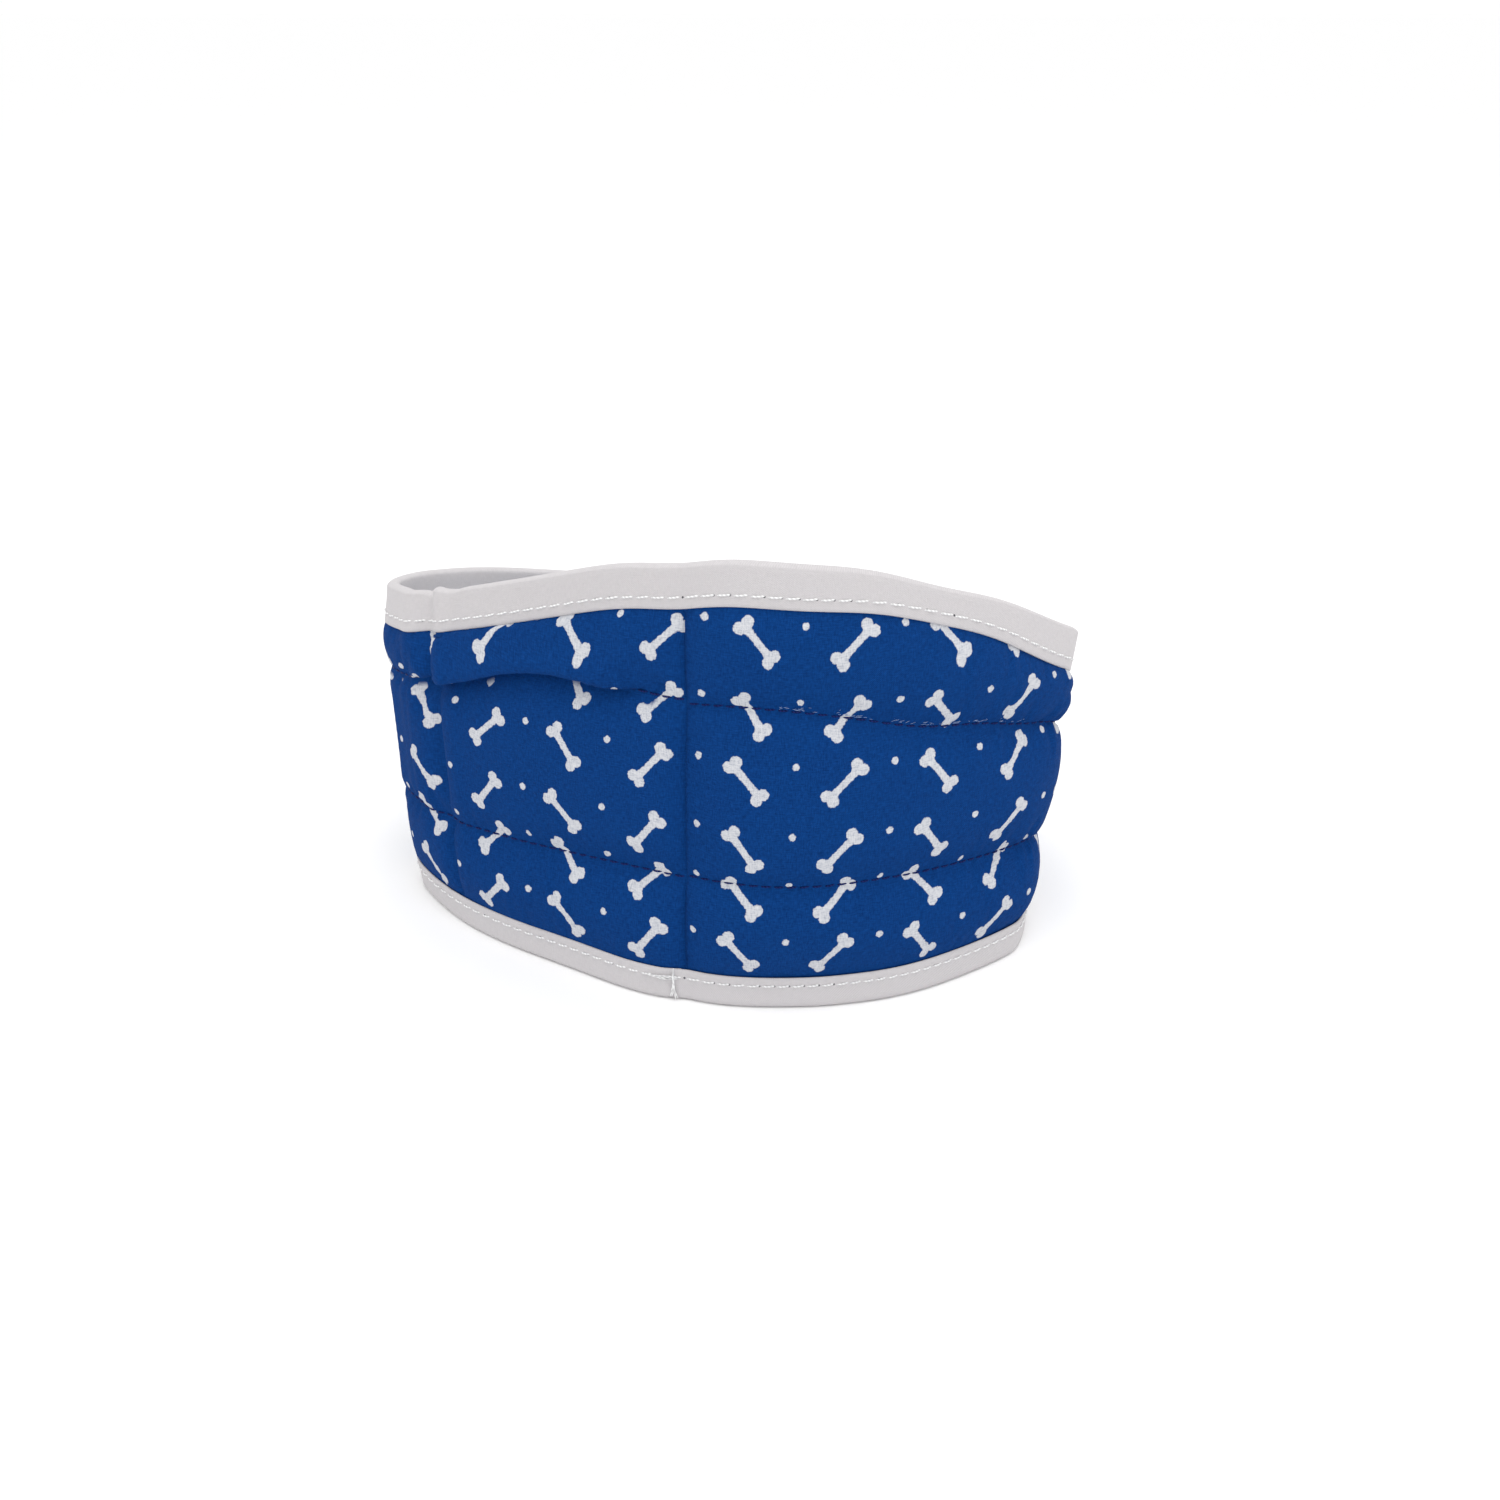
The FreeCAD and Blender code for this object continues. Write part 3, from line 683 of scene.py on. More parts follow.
def row_layout(s):
    """Heights of the sheet's rows, with the channel and the place across it of each row."""
    top = top_height(s)
    lines = [np.full(s.shape, HIDDEN), np.full(s.shape, BOTTOM_BINDING), lower_seam(s), upper_seam(s),
             top - top_binding(s), top - HIDDEN]
    heights, channels, shares, pinned = [lines[0]], [-1], [0.0], [True]
    for k, count in enumerate(ROW_COUNTS):
        puffed = 0 < k < 4
        for i in range(1, count + 1):
            heights.append(lines[k] + (lines[k + 1] - lines[k]) * (i / count))
            channels.append(k - 1 if puffed else -1)
            shares.append(i / count if puffed else 0.0)
            pinned.append(not puffed or i == count)
    return np.stack(heights), np.array(channels), np.array(shares), np.array(pinned)


LIP_REACH = 0.15             # as a share of the channel
LIP_DROP = 3.4
LIP_SWELL = 2.5
INNER_PUFF = 3.4             # how far the lining swells in every channel
PUCKER_REACH = 0.16          # as a share of the channel
SEAM_SHOWN = 0.93            # the middle channel's print ends here, under the lip


def lip(s):
    """Where the upper left channel sags over its seam, from 0 to 1."""
    return smooth(-s, 5, 22) * smooth(-s, 88, 66)


def outer_puff(s, channel):
    """How far the cover swells in a channel: little at the front and more at the sides."""
    turn = smooth(np.abs(s), 35, 95)
    base = (1.3, 1.5, 1.2)[channel]
    more = np.where(s > 0, (1.0, 1.5, 1.1)[channel], (-1.4, -1.3, -0.5)[channel])
    return base + more * turn - (0.5 * lip(s) if channel == 2 else 0.0)


def sheet_shape(s, inner):
    """Points of a cover panel or of a lining before it is inflated, and what its rows are."""
    heights, channels, shares, pinned = row_layout(s)
    full = fullness(s)
    shift = edge_mid(s) - EDGE_MID
    tail = 1 - full
    half_thick = edge_half(s) - COVER_PLY / 2
    edge = edge_mid(s) + (-half_thick if inner else half_thick)
    seam = edge * tail + ((SEAM_INNER if inner else SEAM_OUTER) + shift) * full
    offsets = np.empty_like(heights)
    for i, (channel, share) in enumerate(zip(channels, shares)):
        if channel < 0:
            offsets[i] = edge + 0.35 * top_crease(s) * (i > len(channels) / 2)
            continue
        start = edge if channel == 0 else seam
        stop = edge if channel == 2 else seam
        base = start + (stop - start) * share
        if channel == 2:
            base = base + 0.35 * top_crease(s) * share
        bulge = math.sin(math.pi * share) ** 0.6
        swell = -INNER_PUFF if inner else outer_puff(s, channel)
        uneven = 1 + 0.25 * ripple(s, heights[i], 3.0 if inner else 2.0)
        offsets[i] = base + full * bulge * swell * uneven
        if inner:
            continue
        near = math.exp(-share / PUCKER_REACH) if channel > 0 else 0.0
        above = math.exp(-(1 - share) / PUCKER_REACH) if channel < 2 else 0.0
        pucker = np.sin(s * 1.15 + 2.2 * np.sin(s * 0.31) + channel * 2.1)
        gathered = 0.3 + 0.8 * hump(s, -90, 17) + 0.6 * hump(s, 100, 14)
        offsets[i] += gathered * pucker * (near + above) * bulge ** 0.5 * full
        offsets[i] -= 0.8 * hump(s, 0.0, 1.5) * bulge ** 0.3
        valley = -71.6 + 0.02 * (60 - heights[i])
        offsets[i] += humps(s, (0.9, valley - 4.5, 2.6), (-1.5, valley, 1.9)) * bulge ** 0.5
        if channel == 2:
            place = share / LIP_REACH
            sag = place * math.exp(1 - place)
            heights[i] -= LIP_DROP * lip(s) * sag
            offsets[i] += LIP_SWELL * lip(s) * sag
            offsets[i] -= 1.8 * hump(s, -6.2, 2.2) * hump(heights[i], upper_seam(s) + 2.6, 2.0)
            offsets[i] -= 1.2 * hump(s, 98, 10) * hump(share, 0.6, 0.1)
        if channel == 1:
            offsets[i] -= 1.3 * lip(s) * hump(share, 1.0, 0.13)
    return heights, offsets, channels, shares, pinned


def columns_between(start, stop, step=GRID):
    return np.linspace(start, stop, max(2, int(round(abs(stop - start) / step)) + 1))


SHEETS = {}


def in_crease(across, channels, shares):
    """1 on the cloth that is tucked away behind the sagging channel."""
    rows = (channels == 1) & (shares > SEAM_SHOWN)
    return rows[:, None] * (across < -8) * (across > -140)


def build_sheet(name, start, stop, inner):
    """Keep the sheet's middle surface and its maps; the mesh is made once it is inflated."""
    s = columns_between(start, stop)
    front = abs(start) < 1
    if front:
        s = np.concatenate([s[:1], s])
    heights, offsets, channels, shares, pinned = sheet_shape(s, inner)
    if front:
        swollen = np.where(channels < 0, 0.0, np.sin(math.pi * shares))
        turn = SEAM_PRESSED + (SEAM_TURN - SEAM_PRESSED) * swollen
        offsets[:, 0] = offsets[:, 1] + (turn if inner else -turn)
    across = np.broadcast_to(s, heights.shape)
    rest_heights = row_layout(s)[0]
    hold = np.broadcast_to(pinned[:, None], heights.shape) | (fullness(across) < 0.25)
    columns = np.arange(len(s))
    hold = hold | (columns < 1 + front) | (columns == len(s) - 1)
    print_channels = np.where((channels == 1) & (shares == 1.0), 2, channels)
    SHEETS[name] = {"points": band(across, heights, offsets), "hold": hold, "inner": inner, "s": s,
                    "turned": (stop < start) != inner, "channels": channels, "shares": shares,
                    "cloth": np.stack([cloth_length(across, rest_heights), rest_heights / WALL_LEAN], -1),
                    "print": print_map(across, rest_heights, print_channels[:, None] + 0 * heights),
                    "shown": np.stack([1.0 - in_crease(across, channels, shares), 0 * heights], -1)}


def finish_sheet(name):
    sheet = SHEETS[name]
    order = slice(None, None, -1 if sheet["turned"] else 1)
    material = LINING if sheet["inner"] else COTTON
    obj = solid_grid(name, sheet["points"][:, order], COVER_PLY, material)
    for uv in ("cloth",) if sheet["inner"] else ("cloth", "print", "shown"):
        set_uv(obj, uv, sheet[uv][:, order])
    return obj


AT_SEAM = 1e-6               # a sheet starts just on its own side of the front seam
END_INSET = 0.8              # and stops this far inside the tape round a free end
SHEET_ENDS = {"right": (AT_SEAM, TAIL_END["right"] - END_INSET), "left": (-AT_SEAM, -BAND_END["left"]),
              "flap": (-BAND_END["left"], END_INSET - TAIL_END["left"])}
for part, (start, stop) in SHEET_ENDS.items():
    build_sheet("cloth_cover_" + part, start, stop, False)
    build_sheet("cloth_lining_" + part, start, stop, True)

# ---- cloth simulation: padding presses the sheets out between their seams ----
SIM_SCALE = 50.0             # the cloth solver works on a larger copy of the small sheets
SIM_FRAMES = 18
SHRINK = {False: -0.022, True: -0.03}        # below 0 it grows; the lining has more slack
MOST_MOVE = 1.7              # cap on how far a point may move, in millimetres
CLOTH_SETTINGS = {"quality": 5, "mass": 0.05, "tension_stiffness": 25, "compression_stiffness": 8,
                  "shear_stiffness": 6, "bending_stiffness": 0.25, "air_damping": 2.0,
                  "use_pressure": True, "uniform_pressure_force": 2.0}


def inflate(names):
    scene = bpy.context.scene
    copies = []
    for name in names:
        sheet = SHEETS[name]
        faces = grid_faces(*sheet["hold"].shape, flip=sheet["turned"])
        copy = make_mesh("inflated_" + name, sheet["points"] * SIM_SCALE, faces, COTTON)
        group = copy.vertex_groups.new(name="sewn")
        group.add(np.flatnonzero(sheet["hold"].ravel()).tolist(), 1.0, "REPLACE")
        cloth = copy.modifiers.new("padding", "CLOTH").settings
        for key, value in CLOTH_SETTINGS.items():
            setattr(cloth, key, value)
        cloth.vertex_group_mass = "sewn"
        cloth.shrink_min = SHRINK[sheet["inner"]]
        cloth.effector_weights.gravity = 0.0
        copies.append(copy)
    for number in range(1, SIM_FRAMES + 1):
        scene.frame_set(number)
    graph = bpy.context.evaluated_depsgraph_get()
    for name, copy in zip(names, copies):
        sheet = SHEETS[name]
        result = np.zeros(sheet["points"].size, np.float32)
        copy.evaluated_get(graph).data.vertices.foreach_get("co", result)
        moved = result.reshape(sheet["points"].shape) / (MM * SIM_SCALE) - sheet["points"]
        far = np.linalg.norm(moved, axis=-1, keepdims=True)
        moved = moved * np.minimum(1.0, MOST_MOVE / np.maximum(far, 1e-6))
        moved[sheet["hold"]] = 0
        sheet["points"] = sheet["points"] + moved
        mesh = copy.data
        bpy.data.objects.remove(copy)
        bpy.data.meshes.remove(mesh)
    scene.frame_set(1)


PADDED_SHEETS = ["cloth_cover_right", "cloth_cover_left", "cloth_lining_right", "cloth_lining_left"]
inflate(PADDED_SHEETS)
CLOTHS = {name: finish_sheet(name) for name in SHEETS}

# ---- padding: a crowned closed pad in each channel, between the two sheets ----
PAD_CLEAR = 0.9
PAD_SPANS = ((0.05, 0.93), (0.07, 0.88), (0.24, 0.95))  # clear of the seams and of the sagging lip
CHANNELS = ("lower", "middle", "upper")


def build_pad(side, channel):
    outer = SHEETS["cloth_cover_" + side]
    inner = SHEETS["cloth_lining_" + side]
    low, high = PAD_SPANS[channel]
    picked = (outer["channels"] == channel) & (outer["shares"] > low) & (outer["shares"] < high)
    keep = (fullness(outer["s"]) > 0.35) & (np.abs(outer["s"]) > 1.2)
    out = outer["points"][picked][:, keep]
    back = inner["points"][picked][:, keep]
    gap = np.linalg.norm(out - back, axis=-1, keepdims=True)
    inset = np.minimum(PAD_CLEAR / np.maximum(gap, 1e-6), 0.45)
    front_face = out + (back - out) * inset
    back_face = back + (out - back) * inset
    rows, columns = front_face.shape[:2]
    loop = np.concatenate([front_face, back_face[::-1]], 0).transpose(1, 0, 2)
    faces = grid_faces(columns, 2 * rows, flip=True, wrap=True)
    faces.append(tuple(range(2 * rows)))
    faces.append(tuple(reversed(range((columns - 1) * 2 * rows, columns * 2 * rows))))
    return make_mesh("wadding_%s_%s" % (CHANNELS[channel], side), loop, faces, PADDING)


PADS = {(side, CHANNELS[k]): build_pad(side, k) for side in ("right", "left") for k in range(3)}


# ---- binding tape: one folded profile swept along the edge ----
TURN_UNDER = 3.4             # width of the tape's turned-under lips
TAPE_THICK = 0.8 * TAPE_PLY
TAPE_GRID = 0.95
INNER_LESS = 0.4             # the tape shows this much narrower on the inside
TAPE_CLEAR = 0.12            # between the cloths and the tape
CURL = 7                     # points round the edge itself


# Along the turned-under lip and round its fold: (distance back from the fold, layer in plies).
LIP_POINTS = ((TURN_UNDER, 0), (0.9, 0), (0.12, 0.25), (0.0, 1.0), (0.12, 1.75), (0.8, 2.0))


def tape_profile(outer_width):
    """The folded tape as (face, down, layer) points: face 1 outside to -1 inside, distance
    down from the edge, and layer in plies over the cloths."""
    sides = []
    for face, width, parts in ((1, outer_width, 9), (-1, outer_width - INNER_LESS, 7)):
        points = [(face, width - back, layer) for back, layer in LIP_POINTS]
        sides.append(points + [(face, width * (1 - k / parts), 2) for k in range(2, parts)])
    return sides[0], sides[1][::-1]


def curl():
    """(face, distance down) of the points where the tape goes round the edge."""
    angles = [math.pi * k / (CURL + 1) for k in range(1, CURL + 1)]
    return [(math.cos(angle), 0.9 * (1 - math.sin(angle)) + 0.2) for angle in angles]


def ply_reach(s, layer):
    """From the middle of the cloths to a ply of the tape."""
    return edge_half(s) + TAPE_CLEAR + TAPE_PLY * (layer / 2 + 0.25)


def tape_path(s, upward, outer_width):
    """Heights and offsets, for each column, of the middle line of the folded tape."""
    outside, inside = tape_profile(outer_width)
    top = top_height(s) if upward else np.zeros_like(s)
    sign = -1.0 if upward else 1.0
    heights, offsets, downs = [], [], []

    def lay_row(face, down, layer, share, mapped):
        height = top + sign * down
        crease = top_crease(s) * (0.35 + 0.65 * share) if upward else 0.0
        heights.append(height)
        offsets.append(edge_mid(s) + face * ply_reach(s, layer) + tape_wave(s, height) + crease)
        downs.append(mapped + 0 * s)

    for face, down, layer in outside:
        lay_row(face, down, layer, np.clip(1 - down / outer_width, 0, 1), down)
    for face, down in curl():
        lay_row(face, down, 2, 1.0, 0.5 * face)
    for face, down, layer in inside:
        lay_row(face, down, layer, np.clip(1 - down / outer_width, 0, 1), -down)
    return np.stack(heights), np.stack(offsets), np.stack(downs)


def build_tape(edge, part, start, stop, raised=0.0):
    s = columns_between(start, stop, TAPE_GRID)
    upward = edge == "top"
    width = top_binding(s) if upward else BOTTOM_BINDING
    stitch_line = TOP_STITCH_DROP + width - TOP_BINDING if upward else BOTTOM_STITCH_RISE
    heights, offsets, downs = tape_path(s, upward, width)
    if upward:
        dip = humps(s, (-1.2, -73.5, 2.4), (0.8, -68.5, 2.6), (-0.4, -62.5, 2.5))
        heights = heights + dip * np.clip(1 - np.abs(downs) / width, 0, 1)
    across = np.broadcast_to(s, heights.shape)
    points = band(across, heights, offsets + raised)
    obj = solid_grid("tape_%s_%s" % (edge, part), points, TAPE_THICK, TAPE)
    set_uv(obj, "cloth", np.stack([cloth_length(across, heights), np.abs(downs) - stitch_line], -1))
    return obj


END_LAP = 0.8                # the upright tape at a free end starts this far under the others
JOIN = -2.6                  # the two ends of the tape meet here, just left of the front seam
JOIN_LAP = 1.5
JOIN_RAISED = 0.12           # the right end lies over the left one
JOIN_LOWERED = -0.1
PARTS = {"right": (0.0, TAIL_END["right"]), "left": (0.0, -BAND_END["left"]),
         "flap": (-BAND_END["left"], -TAIL_END["left"])}
TAPES = {"top_" + part: build_tape("top", part, *ends) for part, ends in PARTS.items()}
TAPES["bottom_right"] = build_tape("bottom", "right", JOIN, TAIL_END["right"], JOIN_RAISED)
TAPES["bottom_left"] = build_tape("bottom", "left", JOIN + JOIN_LAP, -BAND_END["left"], JOIN_LOWERED)
TAPES["bottom_flap"] = build_tape("bottom", "flap", *PARTS["flap"])


def build_end_tape(name, end, inward):
    """The tape folded over a free end, upright between the bottom and the top binding."""
    high = float(top_height(end)) - TOP_BINDING + END_LAP
    levels = np.linspace(BOTTOM_BINDING - END_LAP, high, 40)
    outside, inside = tape_profile(BOTTOM_BINDING)
    rows = [(face, down, layer, down) for face, down, layer in outside]
    rows += [(face, down, 2, 0.3) for face, down in curl()]
    rows += [(face, down, layer, down) for face, down, layer in inside]
    faces, along, layers, downs = [np.array(values)[:, None] for values in zip(*rows)]
    s = end + inward * along * np.ones(len(levels))
    heights = np.ones_like(s) * levels
    points = band(s, heights, edge_mid(s) + faces * (ply_reach(s, layers) - 0.1))
    obj = solid_grid(name, points, TAPE_THICK, TAPE)
    set_uv(obj, "cloth", np.stack([heights, downs - BOTTOM_STITCH_RISE + 0 * heights], -1))
    return obj


TAPES["end_underlap"] = build_end_tape("tape_end_underlap", TAIL_END["right"] - 0.2, -1)
TAPES["end_flap"] = build_end_tape("tape_end_flap", 0.2 - TAIL_END["left"], 1)


# ---- stitches: short arched lengths of thread ----
def tubes(name, threads, radius, material, sides=6):
    """One mesh of tubes along threads, which are pairs of a path and the way out of the cloth."""
    points, faces, uvs = [], [], []
    ring = 2 * math.pi * np.arange(sides)[:, None] / sides
    for path, away in threads:
        tangent = np.gradient(path, axis=0)
        tangent = tangent / np.linalg.norm(tangent, axis=1, keepdims=True)
        binormal = np.cross(tangent, away)
        binormal = binormal / np.linalg.norm(binormal, axis=1, keepdims=True)
        normal = np.cross(binormal, tangent)
        count = len(path)
        first = len(points)
        share = np.linspace(0, 1, count)
        thick = radius * np.clip(1.25 * np.sin(math.pi * np.clip(share, 0.06, 0.94)) ** 0.35, 0.3, 1.0)
        steps = binormal[:, None] * np.cos(ring) + normal[:, None] * np.sin(ring)
        points += list((path[:, None] + steps * thick[:, None, None]).reshape(-1, 3))
        uvs += [(x * 3, j / sides) for x in share for j in range(sides)]
        faces += grid_faces(count, sides, wrap=True, first=first)
        faces.append(tuple(first + j for j in reversed(range(sides))))
        faces.append(tuple(first + (count - 1) * sides + j for j in range(sides)))
    obj = make_mesh(name, points, faces, material)
    set_uv(obj, "cloth", uvs)
    return obj


def strand(s, height, offset, sign=1):
    """A path in the band's measures, with the direction away from the cloth beside it."""
    path = band(s, height, offset)
    return path, band(s, height, offset + sign) - path


ACROSS_STITCH = np.linspace(-0.5, 0.5, 7)
ARCH = np.cos(math.pi * ACROSS_STITCH) - 0.25     # its ends dip into the cloth
STITCH_LENGTH = 2.95
STITCH_LIFT = 0.26
STITCH_RADIUS = 0.23
QUILT_PITCH = 3.0
QUILT_LENGTH = 2.35
QUILT_LIFT = 0.34
QUILT_ABOVE = 0.2            # the thread lies on the cloth
THREAD_PLIES = 1.65          # the topstitch sinks a little into the tape's outer ply


def stitch_paths(start, stop, height_of, offset_of, sign, seed, quilt=False):
    """Stitches along a seam; sign is 1 on the outside and -1 on the inside."""
    pitch, length = (QUILT_PITCH, QUILT_LENGTH) if quilt else (STITCH_PITCH, STITCH_LENGTH)
    arch = (QUILT_LIFT if quilt else STITCH_LIFT) * ARCH
    random = np.random.default_rng(seed)
    direction = 1 if stop > start else -1
    threads = []
    for k in range(int(abs(stop - start) / pitch)):
        middle = start + direction * (k + 0.5) * pitch
        s = middle + ACROSS_STITCH * length * (1 + random.uniform(-0.06, 0.06))
        height = height_of(s) + random.uniform(0.05, 0.16) * ACROSS_STITCH * 2
        threads.append(strand(s, height, offset_of(s, height, sign) + sign * arch, sign))
    return threads


def top_line(s):
    dip = -0.25 * hump(s, -73.5, 2.0)
    return top_height(s) - TOP_STITCH_DROP + TOP_BINDING - top_binding(s) + dip


def bottom_line(s):
    return np.full(np.shape(s), BOTTOM_STITCH_RISE)


def tape_face(s, height, sign):
    """Offset of the outer (sign 1) or inner (-1) face of the tape, where its thread lies."""
    reach = edge_half(s) + TAPE_CLEAR + THREAD_PLIES * TAPE_PLY
    return edge_mid(s) + sign * reach + tape_wave(s, height)


def top_face(s, height, sign):
    share = 1 - TOP_STITCH_DROP / TOP_BINDING
    return tape_face(s, height, sign) + top_crease(s) * (0.35 + 0.65 * share)


def bottom_face(s, height, sign):
    return tape_face(s, height, sign) + np.where(s >= JOIN, JOIN_RAISED, JOIN_LOWERED)


def seam_face(s, height, sign):
    """Offset of the thread where the quilting holds the cover (sign 1) or the lining (-1)."""
    full = fullness(s)
    edge = edge_mid(s) + sign * edge_half(s)
    seam = (SEAM_OUTER if sign > 0 else SEAM_INNER) + edge_mid(s) - EDGE_MID
    return edge * (1 - full) + seam * full + sign * QUILT_ABOVE


def end_stitches(s_line, sign, seed):
    """The upright run of stitches in the tape round a free end."""
    random = np.random.default_rng(seed)
    low = BOTTOM_STITCH_RISE + 0.4
    high = float(top_height(s_line)) - TOP_STITCH_DROP - 0.4
    number = int((high - low) / STITCH_PITCH)
    pitch = (high - low) / number
    threads = []
    for k in range(number):
        z = low + (k + 0.5) * pitch + ACROSS_STITCH * STITCH_LENGTH
        s = s_line + random.uniform(0.05, 0.15) * ACROSS_STITCH
        reach = edge_half(s) + 0.02 + THREAD_PLIES * TAPE_PLY + STITCH_LIFT * ARCH
        threads.append(strand(s, z, edge_mid(s) + sign * reach, sign))
    return threads


STITCHES = {}
STITCHED = {"right": (0.4, TAIL_END["right"] - BOTTOM_STITCH_RISE), "left": (-0.4, -BAND_END["left"]),
            "flap": (-BAND_END["left"] - 0.3, BOTTOM_STITCH_RISE - TAIL_END["left"])}
for seed, (part, (start, stop)) in enumerate(STITCHED.items()):
    for edge, line, face in (("top", top_line, top_face), ("bottom", bottom_line, bottom_face)):
        threads = stitch_paths(start, stop, line, face, 1, seed + 10)
        if edge == "bottom" and part != "left":
            threads += end_stitches(stop, 1, seed + 50) + end_stitches(stop, -1, seed + 50)
        threads += stitch_paths(start, stop, line, face, -1, seed + 20)
        key = "stitch_%s_%s" % (edge, part)
        STITCHES[key] = tubes(key, threads, STITCH_RADIUS, WHITE_THREAD)
    if part == "flap":
        continue
    stop = BAND_END["right"] if part == "right" else stop
    for seam, line in (("upper", upper_seam), ("lower", lower_seam)):
        threads = stitch_paths(start, stop, line, seam_face, 1, seed + 30, quilt=True)
        threads += stitch_paths(start, stop, line, seam_face, -1, seed + 40, quilt=True)
        key = "quilt_%s_%s" % (seam, part)
        STITCHES[key] = tubes(key, threads, STITCH_RADIUS, BLUE_THREAD)


# ---- the centre seam's thread, down in the crease between the two panels ----
CENTRE_PITCH = 2.6
CENTRE_SUNK = 0.55
CENTRE_RADIUS = 0.16


def centre_seam():
    low = BOTTOM_BINDING + 0.5
    high = float(top_height(0.0)) - TOP_BINDING - 0.5
    count = int((high - low) / CENTRE_PITCH)
    x, y, level = SHEETS["cloth_cover_right"]["points"][:, 1].T
    threads = []
    for k in range(count):
        ends = [low + (high - low) * (k + share) / count for share in (0.08, 0.92)]
        z = np.linspace(*ends, 5)
        path = np.stack([np.interp(z, level, x), np.interp(z, level, y), z], -1)
        away = strand(np.full(5, 0.01), z, np.zeros(5))[1]
        threads.append((path - away * CENTRE_SUNK, away))
    return tubes("seam_thread_centre", threads, CENTRE_RADIUS, BLUE_THREAD)


seam_thread = centre_seam()


# ---- backtack and the loose end of thread where the tape's two ends meet ----
JOIN_RADIUS = 0.15


def backtack():
    threads = []
    random = np.random.default_rng(7)
    for k in range(5):
        t = np.linspace(0, 1, 6)
        s = JOIN - 6.5 + 7.4 * t + random.uniform(-0.6, 0.6)
        z = BOTTOM_STITCH_RISE + 0.25 * (k - 2) + 0.5 * (t - 0.5) * random.uniform(-1, 1)
        kept = slice(0, 4) if k % 2 else slice(2, 6)
        s, z = s[kept], z[kept]
        threads.append(strand(s, z, bottom_face(s, z, 1) + 0.32 + 0.08 * k))
    return threads


def thread_tail():
    threads = []
    random = np.random.default_rng(11)
    for k in range(6):
        t = np.linspace(0, 1, 12)
        wander = random.uniform(-0.8, 0.8, 3)
        z = (BOTTOM_STITCH_RISE + 2.6 - 0.5 * k) * (1 - t) + random.uniform(0.4, 2.0) * t
        s = JOIN + 0.2 + 0.6 * np.sin(3.0 * t + wander[0] * 3) * t + wander[1] * 0.5 * t
        lift = 0.35 + 0.35 * np.abs(np.sin(4 * t + wander[2]))
        threads.append(strand(s, z, bottom_face(s, z, 1) + lift))
    return threads


join_threads = tubes("thread_join_backtack", backtack() + thread_tail(), JOIN_RADIUS, WHITE_THREAD)


# ---- lint caught along the right half of the upper seam ----
LINT_THREADS = 90
LINT_SPAN = (22, 92)
LINT_RADIUS = 0.05


def lint():
    threads = []
    random = np.random.default_rng(5)
    for _ in range(LINT_THREADS):
        s0 = random.uniform(*LINT_SPAN)
        t = np.linspace(0, 1, 4)
        s = s0 + t * random.uniform(0.3, 1.3)
        z = float(upper_seam(s0)) + 0.5 + abs(random.normal(0, 0.5))
        z = z + t * random.uniform(-0.3, 0.3)
        lift = 0.38 + 0.315 * (z - upper_seam(s)) ** 0.5
        threads.append(strand(s, z, seam_face(s, z, 1) + lift))
    return tubes("lint_upper_seam", threads, LINT_RADIUS, LINT, sides=4)


lint_right = lint()

# ---- hook and loop tape of the closure ----
CLOSURE_INSET = BOTTOM_BINDING + 0.1
CLOSURE_LENGTH = 30.0
CLOSURE_MARGIN = 12.0
RIM_DROP = 0.45              # share of its thickness that the raised face loses at the rim
HOOK_FACES = (-1.4, -3.0)    # offsets of the outer and of the inner face
LOOP_FACES = (-3.5, -4.8)


def build_closure_tape(name, s_free, inward, outer, inner, material):
    """A flat tape with rounded corners and a soft raised face."""
    ends = [s_free + inward * inset for inset in (CLOSURE_INSET, CLOSURE_INSET + CLOSURE_LENGTH)]
    s = np.linspace(*ends, 24)
    share = np.linspace(0, 1, 36)[:, None]
    heights = CLOSURE_MARGIN + (top_height(s) - 2 * CLOSURE_MARGIN) * share
    rows, columns = heights.shape
    across = np.broadcast_to(s, heights.shape)
    rim = np.minimum(np.minimum(share, 1 - share) * 40, 1.0)
    rim = rim * np.minimum(np.minimum(np.arange(columns), np.arange(columns)[::-1]), 1)
    face, flat = (outer, inner) if material is LOOP else (inner, outer)
    raised = band(across, heights, face + (flat - face) * RIM_DROP * (1 - rim))
    back = band(across, heights, np.full(heights.shape, flat))
    flip = (inward > 0) != (face > flat)
    faces = grid_faces(rows, columns, not flip)
    faces += grid_faces(rows, columns, flip, first=rows * columns)
    for a, b in rim_pairs(rows, columns):
        quad = (a, b, b + rows * columns, a + rows * columns)
        faces.append(quad[::-1] if flip else quad)
    obj = make_mesh(name, np.concatenate([raised.reshape(-1, 3), back.reshape(-1, 3)]), faces, material)
    set_uv(obj, "cloth", np.stack([across, heights], -1))
    return obj


hook = build_closure_tape("closure_hook_tape", -TAIL_END["left"], 1, *HOOK_FACES, HOOK)
loop = build_closure_tape("closure_loop_tape", TAIL_END["right"], -1, *LOOP_FACES, LOOP)
BOX_INSET = 2.0
BOX_PITCH = 2.9
BOX_LENGTH = 2.4
BOX_ROOM = 2.2               # a line goes on while this much of it is left
BOX_RADIUS = 0.17


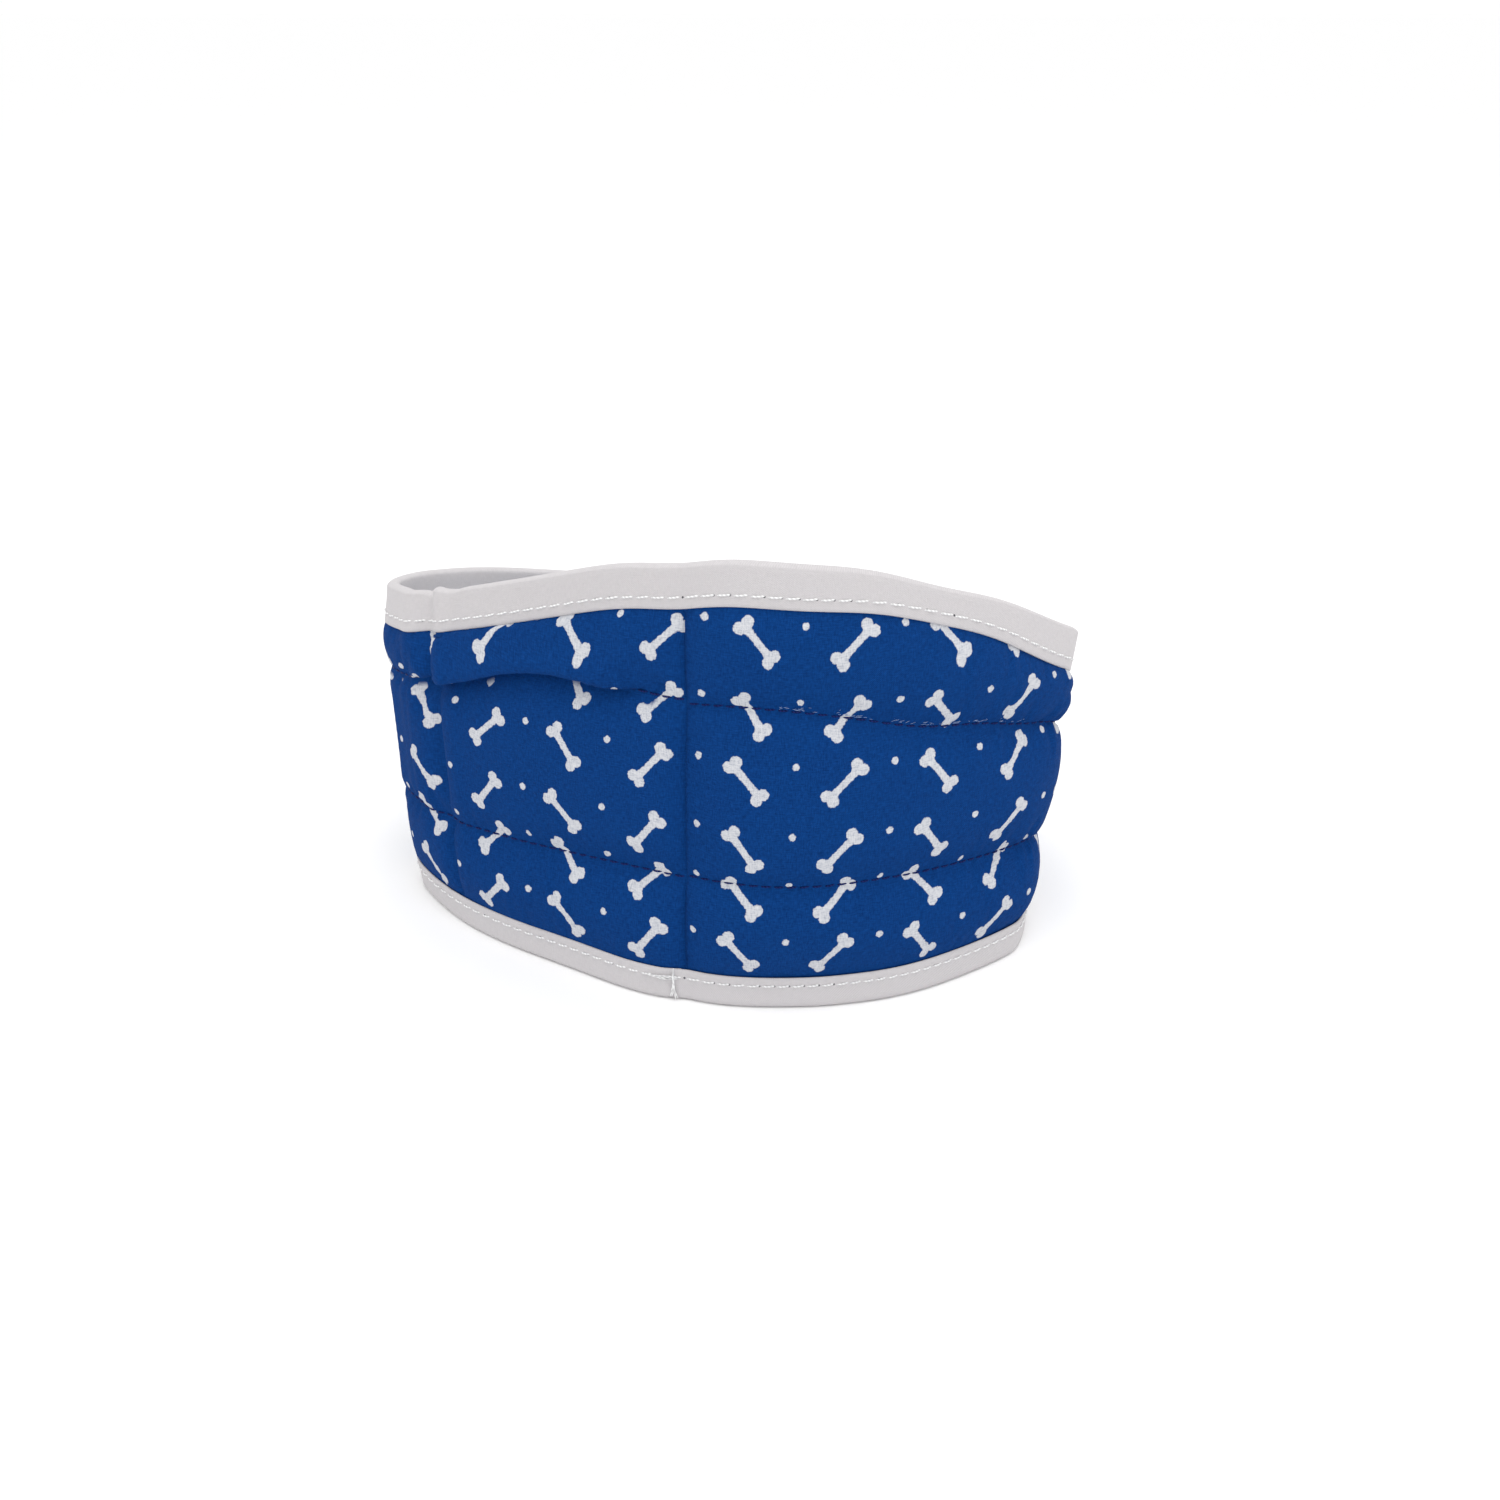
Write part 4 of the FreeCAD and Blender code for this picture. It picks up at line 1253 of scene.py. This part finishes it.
def box_stitches(name, s_free, inward, offset, sign):
    """Two lines up and two lines along, a little inside the closure tape's edge."""
    near = s_free + inward * (CLOSURE_INSET + BOX_INSET)
    far = s_free + inward * (CLOSURE_INSET + CLOSURE_LENGTH - BOX_INSET)
    low = CLOSURE_MARGIN + BOX_INSET
    share = np.linspace(0, 1, 6)
    lines = []
    for start in np.arange(min(near, far), max(near, far) - BOX_ROOM, BOX_PITCH):
        s = start + BOX_LENGTH * share
        lines += [(s, np.full(6, low)), (s, top_height(s) - low)]
    for s0 in (near, far):
        high = float(top_height(s0)) - low
        starts = np.arange(low, high - BOX_ROOM, BOX_PITCH)
        lines += [(np.full(6, s0), start + BOX_LENGTH * share) for start in starts]
    arch = offset + sign * (0.24 * np.sin(math.pi * share) - 0.05)
    return tubes(name, [strand(s, z, arch, sign) for s, z in lines], BOX_RADIUS, BLUE_THREAD)


BOX_CLEAR = 0.08             # the thread lies on the cloth
flap_face = EDGE_MID + TAIL_HALF + BOX_CLEAR
hook_stitches = box_stitches("stitch_hook_tape", -TAIL_END["left"], 1, flap_face, 1)
loop_back = EDGE_MID + TAIL_SHIFT - TAIL_HALF - BOX_CLEAR
loop_stitches = box_stitches("stitch_loop_tape", TAIL_END["right"], -1, loop_back, -1)

# ---- bodies and the CAD nodes that each piece stands for ----
MOVES = {"right": on_right, "left": on_left, "flap": on_flap}


def assign(obj, part, slot, *nodes):
    """Say what part of the band a piece moves with, and the CAD nodes it stands for; slot is not used."""
    MOVES[part](obj)
    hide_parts(*nodes)


def nodes_of(stem, part):
    """A piece's CAD nodes: those of the left half are split where the band bends."""
    if part == "left":
        return [stem + "_left_front", stem + "_left_rear"]
    return [stem + "_" + part]


for part in PARTS:
    for edge in ("top", "bottom"):
        assign(TAPES[edge + "_" + part], part, "binding_tape", *nodes_of("binding_" + edge, part))
        stitches = STITCHES["stitch_%s_%s" % (edge, part)]
        assign(stitches, part, "white_thread", *nodes_of("topstitch_" + edge, part))
for part in ("right", "left"):
    assign(CLOTHS["cloth_cover_" + part], part, "printed_cotton", *nodes_of("cover_panel", part))
    assign(CLOTHS["cloth_lining_" + part], part, "lining_cloth", *nodes_of("lining", part))
    for seam in ("upper", "lower"):
        stitches = STITCHES["quilt_%s_%s" % (seam, part)]
        assign(stitches, part, "blue_thread", *nodes_of("quilting_" + seam, part))
assign(CLOTHS["cloth_cover_flap"], "flap", "printed_cotton", "flap_cover")
assign(CLOTHS["cloth_lining_flap"], "flap", "lining_cloth", "flap_lining")
for (part, label), pad in PADS.items():
    assign(pad, part, "padding", *nodes_of("pad_" + label, part))
assign(TAPES["end_underlap"], "right", "binding_tape", "binding_end_underlap")
assign(TAPES["end_flap"], "flap", "binding_tape", "binding_end_flap")
assign(seam_thread, "right", "blue_thread", "centre_seam_thread")
assign(join_threads, "right", "white_thread", "binding_join_backtack")
assign(hook, "flap", "hook_tape", "hook_tape")
assign(loop, "right", "loop_tape", "loop_tape")
assign(hook_stitches, "flap", "blue_thread", "hook_tape_stitching")
assign(loop_stitches, "right", "blue_thread", "loop_tape_stitching")
on_right(lint_right)

# ---- the stretch of band that each tape covers, worked out but not kept ----
END_TAPE_LENGTH = 58.0


for name, tape in TAPES.items():
    edge, part = name.split("_")
    start, stop = (0.0, END_TAPE_LENGTH) if edge == "end" else PARTS[part]

# ---- floor, light and camera ----
FLOOR_REACH = 60.0           # metres: it has to fill the view up to the horizon
WORLD_STRENGTH = 1.02
KEY_PLACE = (0.1, -0.30, 1.2)
KEY_SIZE = 0.8
KEY_POWER = 5.0
SENSOR_WIDTH = 36.0
LENS = 38.4
CAMERA_AT = (0.0, -315.95, 214.88)
CAMERA_DIP = 0.4345          # radians below the horizon


def in_scene(name, data):
    obj = bpy.data.objects.new(name, data)
    bpy.context.scene.collection.objects.link(obj)
    return obj


floor_mesh = bpy.data.meshes.new("floor")
corners = [(x * FLOOR_REACH, y * FLOOR_REACH, 0) for x, y in ((-1, -1), (1, -1), (1, 1), (-1, 1))]
floor_mesh.from_pydata(corners, [], [(0, 1, 2, 3)])
floor = in_scene("floor", floor_mesh)
floor_material = new_material("floor")
put_all(floor_material.node_tree.nodes["Principled BSDF"],
        {"Base Color": (0.98, 0.98, 0.98, 1.0), "Roughness": 0.9, "Specular IOR Level": 0.1})
floor_mesh.materials.append(floor_material)

world = bpy.data.worlds.new("studio")
bpy.context.scene.world = world
world.use_nodes = True
background = {"Color": (1.0, 1.0, 1.0, 1.0), "Strength": WORLD_STRENGTH}
put_all(world.node_tree.nodes["Background"], background)

key_data = bpy.data.lights.new("key", "AREA")
key_data.shape = "RECTANGLE"
key_data.size = KEY_SIZE
key_data.size_y = KEY_SIZE
key_data.energy = KEY_POWER
key = in_scene("key", key_data)
key.location = KEY_PLACE
key.rotation_euler = (-Vector(KEY_PLACE)).to_track_quat("-Z", "Y").to_euler()

camera_data = bpy.data.cameras.new("camera")
camera_data.sensor_width = SENSOR_WIDTH
camera_data.lens = LENS
camera_data.clip_start = 0.01
camera = in_scene("camera", camera_data)
camera.location = metres(-ORIGIN[0], CAMERA_AT[1] - ORIGIN[1], CAMERA_AT[2])
camera.rotation_euler = (math.pi / 2 - CAMERA_DIP, 0.0, 0.0)
bpy.context.scene.camera = camera
bpy.context.scene.view_settings.view_transform = "Standard"
